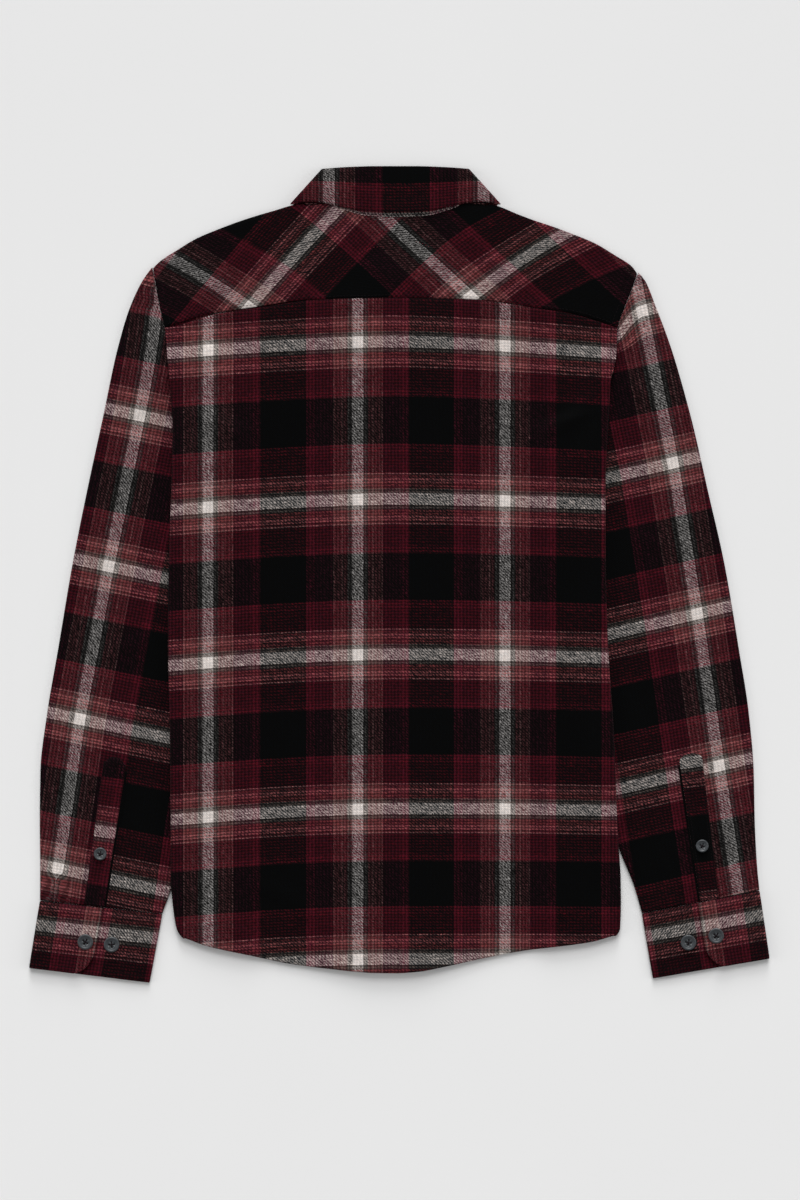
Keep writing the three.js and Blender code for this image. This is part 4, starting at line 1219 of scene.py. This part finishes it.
def strip_place(side, way, across):
    """A point of the sleeve placket: way in mm from the cuff, across in mm from its middle line."""
    start, along, aside = strip_axes(side)[:3]
    way, across = np.broadcast_arrays(np.asarray(way, float), np.asarray(across, float))
    place = start + way[..., None] * along + across[..., None] * aside
    height = sleeve_top(place[..., 0], place[..., 1], side) + LAYER + STRIP_LIFT * ease(-side * across, 2, 9)
    return np.concatenate([place, height[..., None]], -1)


def make_sleeve_placket(side):
    length, half_start, half_end, peak = strip_axes(side)[3:]
    ways = np.concatenate([[0, 0.8], np.linspace(2, length, fine(46))])
    shares = np.linspace(-1, 1, 21)
    half = mix(half_start, half_end, ways / length)[:, None] * shares[None, :]
    if side < 0:
        tip = peak * (1 - ease(np.abs(shares), 0.35, 1.0))
    else:
        tip = peak * np.sqrt(np.clip(1 - shares**2 * 0.96, 0, 1)) * 1.1
    along = ways[:, None] + ease(ways, length - 14, length)[:, None] * tip[None, :]
    points = strip_place(side, along, half)
    inset = np.minimum(np.maximum(half_start - np.abs(half), 0), (length + tip)[None, :] - along)
    thick = CLOTH + 0.15 - 0.3 * bell(inset - STRIP_STITCH, 0.7)
    u_start, v_start = STRIP_PLAID[side]
    fabric = np.stack([u_start + half, along - v_start], 2)

    # The edge of the slit beside the strip, set low and given the darkest colour of the check: a painted
    # shadow line along the strip's side
    beside = -side * half_start * (half[:, :1] / half[0, 0]) - side * np.array([[0.3, SLIT_SHADOW_WIDTH]])
    slit = strip_place(side, along[:, :1] * (1 - SLIT_ENDS_BELOW / length), beside)
    slit[..., 2] -= 0.5 * LAYER + 0.7
    shadow_black = np.broadcast_to(np.array(SHADOW_BLACK_PLAID), slit.shape[:2] + (2,))
    pairs = [(points, slit), (fabric, shadow_black), (thick, np.full(slit.shape[:2], SLIT_CLOTH))]
    if side > 0:
        pairs = [(edge[:, ::-1], strip) for strip, edge in pairs]
    points, fabric, thick = (np.concatenate(pair, 1) for pair in pairs)
    return shell(f"sleeve_placket_{SIDE_NAME[side]}_cloth", points, fabric, thick)


# Collar


def collar_stations(side):
    """Roll line, leaf edge, neck seam and turn round the side, from centre back to centre front."""
    ways = np.linspace(0, 1, fine(40))
    roll = np.stack([ROLL_HALF * ways, along_table(COLLAR_BACK, 1, ways)], 1)
    leaf = np.stack([LEAF_HALF * ways, along_table(COLLAR_BACK, 2, ways)], 1)
    neck = np.stack([NECK_HALF * ways, NECK_Y + BACK_NECK_RISE * (1 - ways**2)], 1)
    neck[-1] = (NECK_HALF, NECK_Y + 1.8)
    turns = np.linspace(0, 1, 9)[1:]
    front = np.linspace(0, 1, fine(30))[1:]
    sag = np.sin(math.pi * front)
    front_roll_x = mix(ROLL_HALF, ROLL_FRONT[0], front) + 6 * sag
    front_roll_y = mix(roll[-1][1], ROLL_FRONT[1], front) - 8 * sag
    front_leaf_x = mix(LEAF_HALF, COLLAR_POINT[0], front) + 3 * sag
    front_leaf_y = mix(leaf[-1][1], COLLAR_POINT[1], front)
    front_neck_x = mix(NECK_HALF, 0, front) + 8 * sag
    front_neck_y = mix(NECK_Y, FRONT_NECK_Y, front**0.8) - 4 * sag
    front_neck_x[-1] = 0
    turn = np.concatenate([np.zeros(len(ways)), turns, np.ones(len(front))])

    def whole(back, front_x, front_y):
        return np.concatenate([back, np.repeat(back[-1:], len(turns), 0), np.stack([front_x, front_y], 1)])

    def place(points, radius):
        x = CENTRE_X + side * (points[:, 0] + (1.5 * radius - 0.5 * FOLD_RADIUS) * np.sin(math.pi * turn))
        return np.stack([x, points[:, 1], COLLAR_Z + radius * np.cos(math.pi * turn)], 1)

    roll = whole(roll, front_roll_x, front_roll_y)
    leaf = whole(leaf, front_leaf_x, front_leaf_y)
    return roll, leaf, whole(neck, front_neck_x, front_neck_y), turn, place


def leaf_half(side):
    """The inner edge, the roll and the leaf down to its edge, and the weave's place for each point."""
    roll, leaf, _, turn, place = collar_stations(side)
    middle = (FOLD_RADIUS + LEAF_RADIUS) / 2
    swing_radius = (LEAF_RADIUS - FOLD_RADIUS) / 2
    length = np.linalg.norm(leaf - roll, axis=1)[:, None]

    def at(way):
        return roll + (leaf - roll) * (way / length)

    columns = [place(at(swing_radius + LIP), FOLD_RADIUS)]
    distance = [np.full(len(roll), -swing_radius * math.pi - LIP)]
    for turned in np.linspace(0, 1, 9):
        rise = swing_radius - swing_radius * math.sin(math.pi * turned)
        columns.append(place(at(rise), middle - swing_radius * math.cos(math.pi * turned)))
        distance.append(np.full(len(roll), swing_radius * math.pi * (turned - 1)))
    back = 1 - ease(turn, 0, 0.6)
    for way in np.linspace(0, 1, fine(20))[1:]:
        row = place(roll + (leaf - roll) * way, LEAF_RADIUS)
        x = row[:, 0]
        loose = 0.5 * math.sin(math.pi * way) ** 0.7 + 0.16 * uneven(x * 1.6, row[:, 1] * 1.6, 0.9)
        edge = 1.15 * float(ease(way, 0.55, 1)) * (0.6 + 0.4 * np.sin(x / 23 + 0.8))
        ends = 1 - ease(from_centre(x), LEAF_HALF * 0.9, LEAF_HALF + 4)
        row[:, 2] += back * ends * (np.maximum(loose, 0) + edge)
        columns.append(row)
        distance.append(length[:, 0] * way)
    points = np.stack(columns)
    run = run_along(points[-1])
    folded = turn > 0
    first = int(np.argmax(folded)) - 1
    past = (run - run[first])[None, :]
    unrolled = np.where(folded[None, :], points[:, first:first + 1, 0] + side * past, points[..., 0])
    u = (unrolled + LEAF_PLAID_X) / LEAF_PLAID_SCALE
    return points, np.stack([u, 69.8 - np.stack(distance)], 2)


def make_leaf():
    left, left_map = leaf_half(-1)
    right, right_map = leaf_half(1)
    points = np.concatenate([left[:, :0:-1], right], 1)
    fabric = np.concatenate([left_map[:, :0:-1], right_map], 1)
    from_edge = np.linalg.norm(points - points[-1:], axis=2)
    past_roll = np.arange(len(points))[:, None] > 10
    thick = CLOTH - np.where(past_roll, 0.3 * bell(from_edge - 5.5, 0.9), 0)
    return shell("collar_leaf_cloth", points, fabric, thick)


def stand_half(side):
    roll, leaf, neck, _, place = collar_stations(side)
    below = (LEAF_RADIUS - FOLD_RADIUS) / 2 + LIP + 3 * SEAM
    top = roll + (leaf - roll) * (below / np.linalg.norm(leaf - roll, axis=1)[:, None])
    top[-1] = (0, STAND_FRONT_Y)
    length = np.linalg.norm(neck - top, axis=1)[:, None]
    last = 1 - (3 * SEAM) / length
    ways = np.linspace(0, 1, 10)
    points = np.stack([place(top + (neck - top) * (last * way), FOLD_RADIUS) for way in ways])
    down = ways[:, None] * length[None, :, 0]
    # The stand's check is set on its darkest warp and weft, so the band that shows between the leaf and the
    # yoke reads as a painted shadow line
    u = side * run_along(points[0])[None, :] - 4 + 0 * down
    return points, np.stack([u, 62 - down], 2)


def make_stand():
    left, left_map = stand_half(-1)
    right, right_map = stand_half(1)
    points = np.concatenate([left[:, -2:0:-1], right], 1)
    fabric = np.concatenate([left_map[:, -2:0:-1], right_map, left_map[:, -1:]], 1)
    return shell("collar_stand_cloth", points, fabric, CLOTH, ring=True)


def leaf_edge_y(x):
    return along_table(COLLAR_BACK, 2, np.abs(x - UNDER_COLLAR_MIDDLE) / LEAF_HALF)


def under_arch(x):
    share = (x - UNDER_COLLAR_MIDDLE) / UNDER_COLLAR_HALF
    return np.sqrt(np.clip(1 - share**2, 0.0001, 1))


def make_under_collar():
    """The edge of the under collar, which shows past the leaf across the middle of the back."""
    x = np.linspace(-60, 62, fine(60))
    ways = np.linspace(0, 1, 9)[:, None]
    y = leaf_edge_y(x) + 9 - (9 + 3.6 * under_arch(x)) * ways
    grid_x = np.repeat(x[None, :] + CENTRE_X, len(ways), 0)
    base = back_height(grid_x, y) + 0.5 * CLOTH + 0.3 + 0.12 * ways
    fabric = np.stack([(grid_x + LEAF_PLAID_X) / LEAF_PLAID_SCALE, 4.4 - 9.5 * ways + 0 * grid_x], 2)
    return shell("under_collar_edge", np.stack([grid_x, y, base], 2), fabric, 0.42)


# Bars and stitches

STITCH_SIDES = 5
THREAD_SIDES = 6
THREAD_RADIUS = 0.24


def ring_faces(rings, sides):
    """Four-cornered faces between rings of corners that follow each other."""
    faces = []
    for row in range(rings - 1):
        for number in range(sides):
            here, after = row * sides + number, row * sides + (number + 1) % sides
            faces.append((here, after, after + sides, here + sides))
    return faces


def circle(sides):
    return np.arange(sides) / sides * 2 * math.pi


def tube(points, radius, sides):
    """Corner points and four-cornered faces of an open round bar along points."""
    points = np.asarray(points, float)
    along = np.gradient(points, axis=0)
    along /= np.maximum(np.linalg.norm(along, axis=1, keepdims=True), 1e-9)
    aside = np.cross(along, np.array([0.0, 0.0, 1.0]))
    size = np.linalg.norm(aside, axis=1, keepdims=True)
    aside = np.where(size > 1e-3, aside / np.maximum(size, 1e-9), [1.0, 0, 0])
    over = np.cross(aside, along)
    angles = circle(sides)[None, :, None]
    radius = np.broadcast_to(radius, len(points))[:, None, None]
    ring = points[:, None] + radius * (np.cos(angles) * aside[:, None] + np.sin(angles) * over[:, None])
    return ring.reshape(-1, 3), np.array(ring_faces(len(points), sides))


def bars(name, points, quads, material):
    """A piece from quads in which a repeated corner makes a triangle."""
    faces = [list(dict.fromkeys(int(corner) for corner in quad)) for quad in quads]
    piece = add_object(name, smooth_mesh(name, points, faces), material)
    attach(piece, "root")
    return piece


def stitches(name, lines, material=None, length=2.7, gap=0.7, radius=0.17, sink=0.0):
    """Rows of separate stitches along lines of points that lie on the cloth's upper face."""
    all_points = []
    all_faces = []
    base = 0
    for line in lines:
        line = np.asarray(line, float)
        run = run_along(line)
        count = max(1, int(run[-1] / (length + gap)))
        pitch = run[-1] / count
        half = 0.5 * pitch * length / (length + gap)
        for number in range(count):
            wobble = 0.06 * math.sin(number * 2.4) * length
            places = (number + 0.5) * pitch + wobble + half * np.array([-1, -0.55, 0.0, 0.55, 1])
            bar = np.stack([np.interp(places, run, line[:, axis]) for axis in range(3)], 1)
            bar[:, 2] += radius * np.array([-0.9, 0.25, 0.45, 0.25, -0.9]) - sink
            corners, faces = tube(bar, radius * np.array([0.35, 0.95, 1.0, 0.95, 0.35]), STITCH_SIDES)
            all_points.append(corners)
            all_faces.append(faces + base)
            for end, start in enumerate((0, len(corners) - STITCH_SIDES)):
                all_points.append(corners[start:start + STITCH_SIDES].mean(0, keepdims=True))
                tip = base + len(corners) + end
                for k in range(STITCH_SIDES):
                    a, b = base + start + k, base + start + (k + 1) % STITCH_SIDES
                    all_faces.append(np.array([(b, tip, tip, a) if end else (a, tip, tip, b)]))
            base += len(corners) + 2
    return bars(name, np.concatenate(all_points), np.concatenate(all_faces), material or THREAD_DARK)


def on_back(x, y, lift=0.02):
    """A line on the upper face of the back, yoke included."""
    x, y = np.asarray(x, float), np.asarray(y, float)
    return np.stack([x, y, back_height(x, y) + 0.5 * CLOTH + lift], 1)


def body_stitches():
    rows = []
    ways = np.linspace(0, 0.985, 110)
    level = LOW_LEVEL + HEM_STITCH
    for side in (-1, 1):
        edge = body_edge(row_y(level, float(side)), side) - side * FLAP_RADIUS
        rows.append(on_back(mix(CENTRE_X, edge, ways), row_y(level, side * ways)))
    stitches("hem_stitches", rows)
    shares = np.linspace(-0.985, 0.985, 220)
    y = seam_y(shares) + 2.4
    edge = np.where(shares < 0, body_edge(y, -1), body_edge(y, 1))
    stitches("yoke_stitches", [on_back(mix(CENTRE_X, edge, np.abs(shares)), y, 0.12)])
    rows = []
    for side in (-1, 1):
        for low, high in ((246, 296), (188, 243)):
            y = np.linspace(low, high, 40)
            rows.append(on_back(body_edge(y, side) - side * 6.2, y))
    stitches("armhole_stitches", rows)


def sleeve_placket_stitches(side):
    length, half_start, half_end = strip_axes(side)[3:6]
    ways = np.linspace(3, length - 2, 60)
    half = mix(half_start, half_end, ways / length) - STRIP_STITCH
    rows = [strip_place(side, ways, hand * half) for hand in (-1, 1)]
    across = np.linspace(-half_end + 2.4, half_end - 2.4, 12)
    bend = 2.6 * (1 - (across / half_end) ** 2)
    rows.append(strip_place(side, length - 1.2 + bend, across))
    rows.append(strip_place(side, length - 31.0, across))
    for row in rows:
        row[:, 2] += 0.5 * CLOTH
    stitches(f"sleeve_placket_{SIDE_NAME[side]}_stitches", rows, length=2.2, gap=0.6, radius=0.15)


def cuff_stitches(side):
    _, width, _ = cuff_sizes(side)
    lid_top = CUFF_CLOTH + 2 * CUFF_LAYER + CUFF_FLAP_SPACE

    def row(across, down, height):
        place = cuff_place(side, across, down)
        return np.concatenate([place, (height + cuff_swell(across, down))[:, None]], 1)

    rows = []
    for down, short in ((0.085, 2), (0.915, 9.5)):
        lid = np.linspace(3, CUFF_FLAP_END - short, 40)
        lift = CUFF_FLAP_LIFT * ease(lid, CUFF_FLAP_END - 16, CUFF_FLAP_END)
        rows.append(row(lid, np.full_like(lid, down), lid_top - 0.1 + lift))
        under = np.linspace(CUFF_FLAP_END + 3, width - 3, 40)
        rows.append(row(under, np.full_like(under, down), CUFF_CLOTH + CUFF_LAYER - 0.1))
    downs = np.linspace(0.085, 0.8, 24)
    rows.append(row(cuff_flap_end(downs) - CUFF_STITCH, downs, lid_top + 0.1))
    stitches(f"cuff_{SIDE_NAME[side]}_stitches", rows)


def collar_stitches():
    x = np.linspace(-57, 59, 90)
    y = leaf_edge_y(x) - 1.9 * under_arch(x)
    stitches("under_collar_stitches", [on_back(x + CENTRE_X, y, 0.63)], length=3.4, gap=0.25, radius=0.5)


def front_stitches():
    rows = []
    for hand in (-1, 1):
        y = np.linspace(-380, 282, 200)
        x = np.full_like(y, CENTRE_X + hand * (PLACKET_HALF - 5))
        rows.append(np.stack([x, y, front_height(x, y) - 0.5 * CLOTH - 0.06], 1))
    stitches("front_placket_stitches", rows, sink=-0.1)


def neck_tacks():
    """Red stitches that show under the collar: a bent row on the left, four flecks on the right."""
    ways = np.linspace(0, 1, 40)
    arc_y = mix(314, 321.5, np.sin(ways * math.pi * 0.62))
    bent = on_back(mix(-40, -13, ways), arc_y, -0.02)
    rows = [bent, on_back([16, 22, 27, 31], [327, 325.4, 323, 321], -0.02)]
    stitches("neck_tack_stitches", rows, THREAD_RED, 1.6, 1.4, 0.16)


# Buttons

BUTTON_THICK = 2.1
BUTTON_DISH = 0.7
BUTTON_PROFILE = [
    (0.62, 0.0), (0.86, 0.06), (0.955, 0.2), (1.0, 0.42), (0.995, 0.68), (0.96, 0.88), (0.9, 0.985),
    (0.84, 1.0), (0.78, 0.965), (0.73, 0.87), (0.68, 0.76), (0.62, BUTTON_DISH),
]
HOLE_SIDES = 12
HOLE_RADIUS_SHARE = 0.055
HOLE_SPREAD_SHARE = 0.115
CUFF_BUTTON_SIZE = 15.2
SLEEVE_BUTTON_SIZE = 12.5
FRONT_BUTTON_SIZE = 11.5
FRONT_BUTTONS_Y = [298, 254, 168, 82, -4, -90, -176]
BUTTON_TILT = (0.02, -0.015)


def hole_border(places, border, ring, centre):
    """Triangles between a ring of corners about a hole and the corners of the field around it."""
    def turn_of(index):
        return math.atan2(places[index][1] - centre[1], places[index][0] - centre[0]) % (2 * math.pi)

    border = sorted(border, key=turn_of)
    merged = sorted(
        [(turn_of(index), 0, index) for index in border]
        + [(number / HOLE_SIDES * 2 * math.pi, 1, ring[number]) for number in range(HOLE_SIDES)]
    )
    last_border, last_ring = border[-1], ring[-1]
    faces = []
    for _, on_ring, index in merged:
        face = [last_border, index, last_ring]
        if on_ring:
            last_ring = index
        else:
            last_border = index
        if len(set(face)) == 3:
            faces.append(face)
    return faces


def button_mesh(name, diameter):
    """A dished four-hole button with a rounded rim."""
    sides = 48
    hole = HOLE_RADIUS_SHARE * diameter
    spread = HOLE_SPREAD_SHARE * diameter
    places = []
    for share, height in BUTTON_PROFILE:
        radius = share * diameter / 2
        places += [(radius * math.cos(a), radius * math.sin(a), height * BUTTON_THICK) for a in circle(sides)]
    faces = [list(face) for face in ring_faces(len(BUTTON_PROFILE), sides)]
    centres = [(spread, spread), (-spread, spread), (-spread, -spread), (spread, -spread)]
    quarter = sides // 4
    rings = []
    for level, start in ((BUTTON_DISH, (len(BUTTON_PROFILE) - 1) * sides), (0.0, 0)):
        middle = len(places)
        places.append((0, 0, level * BUTTON_THICK))
        height = level * BUTTON_THICK - 0.04
        for cx, cy in centres:
            rings.append(range(len(places), len(places) + HOLE_SIDES))
            places += [(cx + hole * math.cos(a), cy + hole * math.sin(a), height) for a in circle(HOLE_SIDES)]
        for quadrant, centre in enumerate(centres):
            span = [start + (quadrant * quarter + k) % sides for k in range(quarter + 1)]
            made = hole_border(places, [middle] + span, rings[quadrant - 4], centre)
            faces += [face if level > 0 else face[::-1] for face in made]
    for up, low in zip(rings[:4], rings[4:]):
        for number in range(HOLE_SIDES):
            after = (number + 1) % HOLE_SIDES
            faces.append([up[number], up[after], low[after], low[number]])
    return smooth_mesh(name, places, faces)


def thread_cross(name, diameter):
    """The crossed threads that hold a button, two bars each way."""
    spread = HOLE_SPREAD_SHARE * diameter
    ways = np.array([0, 0.06, 0.3, 0.5, 0.7, 0.94, 1])[:, None]
    corners = []
    quads = []
    for sy in (1, -1):
        heights = np.array([-0.9, 0.05, 0.34, 0.56 if sy < 0 else 0.42, 0.34, 0.05, -0.9])
        heights += BUTTON_DISH * BUTTON_THICK
        for shift in (-0.22, 0.22):
            end = np.array([spread, spread * sy])
            aside = np.array([-end[1], end[0]]) / math.hypot(*end) * shift
            line = np.concatenate([mix(end + aside, aside - end, ways), heights[:, None]], 1)
            points, faces = tube(line, THREAD_RADIUS, THREAD_SIDES)
            quads.append(faces + len(points) * len(corners))
            corners.append(points)
    return bars(name, np.concatenate(corners), np.concatenate(quads), THREAD_DARK)


def make_button(node, x, y, z, diameter, turn, facing=1, tilt=(0.0, 0.0)):
    name = f"{node}_fine"
    button = add_object(name, button_mesh(name, diameter), BUTTON)
    button.location = (x * TO_METRES, y * TO_METRES, z * TO_METRES)
    button.rotation_euler = (tilt[0] + (0 if facing > 0 else math.pi), tilt[1], turn)
    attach(button, "root")
    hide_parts(node)
    cross = thread_cross(f"{name}_thread", diameter)
    cross.location = button.location
    cross.rotation_euler = button.rotation_euler


def all_buttons():
    heights = (CUFF_CLOTH + 2 * CUFF_LAYER + SEAM + 0.45, CUFF_CLOTH + CUFF_LAYER + SEAM + 0.35)
    turns = {-1: ((0.2, 0.9), 0.55), 1: ((0.15, 0.6), 0.35)}
    for side, word in SIDE_NAME.items():
        cuff_turns, sleeve_turn = turns[side]
        for number, (x, y) in enumerate(CUFF_BUTTONS[side]):
            node = f"cuff_button_{word}_{number + 1}"
            make_button(node, x, y, heights[number], CUFF_BUTTON_SIZE, cuff_turns[number], tilt=BUTTON_TILT)
        x, y = PLACKET_BUTTONS[side]
        z = float(sleeve_top(np.array(x), np.array(y), side)) + LAYER + 0.5 * CLOTH + SEAM
        make_button(f"sleeve_button_{word}", x, y, z, SLEEVE_BUTTON_SIZE, sleeve_turn)
    for number, y in enumerate(FRONT_BUTTONS_Y):
        node = f"front_button_{number + 1}"
        make_button(node, CENTRE_X, y, BUTTON_THICK, FRONT_BUTTON_SIZE, 0.3 + 0.4 * number, facing=-1)


# The whole shirt

back = make_back()
yoke = make_yoke()
front_left = make_front(-1)
front_right = make_front(1)
placket = make_placket()
leaf = make_leaf()
stand = make_stand()
under_collar = make_under_collar()
sleeves = {side: make_sleeve(side) for side in SIDE_NAME}
cuffs = {side: make_cuff(side) for side in SIDE_NAME}
strips = {side: make_sleeve_placket(side) for side in SIDE_NAME}
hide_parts("back")
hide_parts("back_yoke")
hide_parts("front_left")
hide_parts("front_right")
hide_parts("front_placket")
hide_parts("collar_leaf")
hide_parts("collar_stand")
for hand, word in SIDE_NAME.items():
    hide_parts(f"sleeve_{word}")
    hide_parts(f"cuff_{word}")
    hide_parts(f"sleeve_placket_{word}")
all_buttons()
body_stitches()
for hand in SIDE_NAME:
    sleeve_placket_stitches(hand)
    cuff_stitches(hand)
collar_stitches()
front_stitches()
neck_tacks()

# Floor, light and camera

floor_mesh = bpy.data.meshes.new("floor")
FLOOR_HALF = 4
FLOOR_Z = -0.0004
floor_corners = [(-1, -1), (1, -1), (1, 1), (-1, 1)]
floor_points = [(FLOOR_HALF * x, FLOOR_HALF * y, FLOOR_Z) for x, y in floor_corners]
floor_mesh.from_pydata(floor_points, [], [(0, 1, 2, 3)])
floor = bpy.data.objects.new("floor", floor_mesh)
bpy.context.collection.objects.link(floor)
floor_material, floor_tree, floor_shader = nodes_of("floor_white")
floor_place = floor_tree.nodes.new("ShaderNodeTexCoord")
floor_grain = noise(floor_tree, floor_place.outputs["Object"], 3.0)
floor_tint = colour_mix(floor_tree, floor_grain, (0.79, 0.79, 0.79), (0.81, 0.81, 0.81))
floor_tree.links.new(floor_tint, floor_shader.inputs["Base Color"])
floor_shader.inputs["Roughness"].default_value = 1.0
floor_shader.inputs["Specular IOR Level"].default_value = 0.0
floor_mesh.materials.append(floor_material)

world = bpy.data.worlds.new("studio")
bpy.context.scene.world = world
world.use_nodes = True
WORLD_LIGHT = 0.34
world.node_tree.nodes["Background"].inputs[0].default_value = (1, 1, 1, 1)
world.node_tree.nodes["Background"].inputs[1].default_value = WORLD_LIGHT

# Suns: tilt from straight down about x and about y, share of the light on the floor, width. In degrees.
SUNS = {
    "key": (-54, 4, 0.38, 42),
    "top_fill": (-76, 0, 0.15, 20),
    "left_fill": (0, -72, 0.065, 26),
    "right_fill": (0, 72, 0.065, 26),
}
for sun_name, (about_x, about_y, floor_share, width) in SUNS.items():
    sun_light = bpy.data.lights.new(sun_name, "SUN")
    facing = math.cos(math.radians(about_x)) * math.cos(math.radians(about_y))
    sun_light.energy = floor_share * math.pi / facing
    sun_light.angle = math.radians(width)
    sun = bpy.data.objects.new(sun_name, sun_light)
    sun.rotation_euler = (math.radians(about_x), math.radians(about_y), 0)
    bpy.context.collection.objects.link(sun)

camera_data = bpy.data.cameras.new("camera")
camera_data.sensor_fit = "VERTICAL"
SENSOR_HEIGHT = 24
CAMERA_HEIGHT = 3.2
SEEN_HEIGHT = 1.176
camera_data.sensor_height = SENSOR_HEIGHT
camera_data.lens = SENSOR_HEIGHT * CAMERA_HEIGHT / SEEN_HEIGHT
camera_data.clip_end = 50
camera = bpy.data.objects.new("camera", camera_data)
camera.location = (0.00147, -0.024, CAMERA_HEIGHT)
bpy.context.collection.objects.link(camera)
bpy.context.scene.camera = camera
bpy.context.scene.view_settings.view_transform = "Standard"
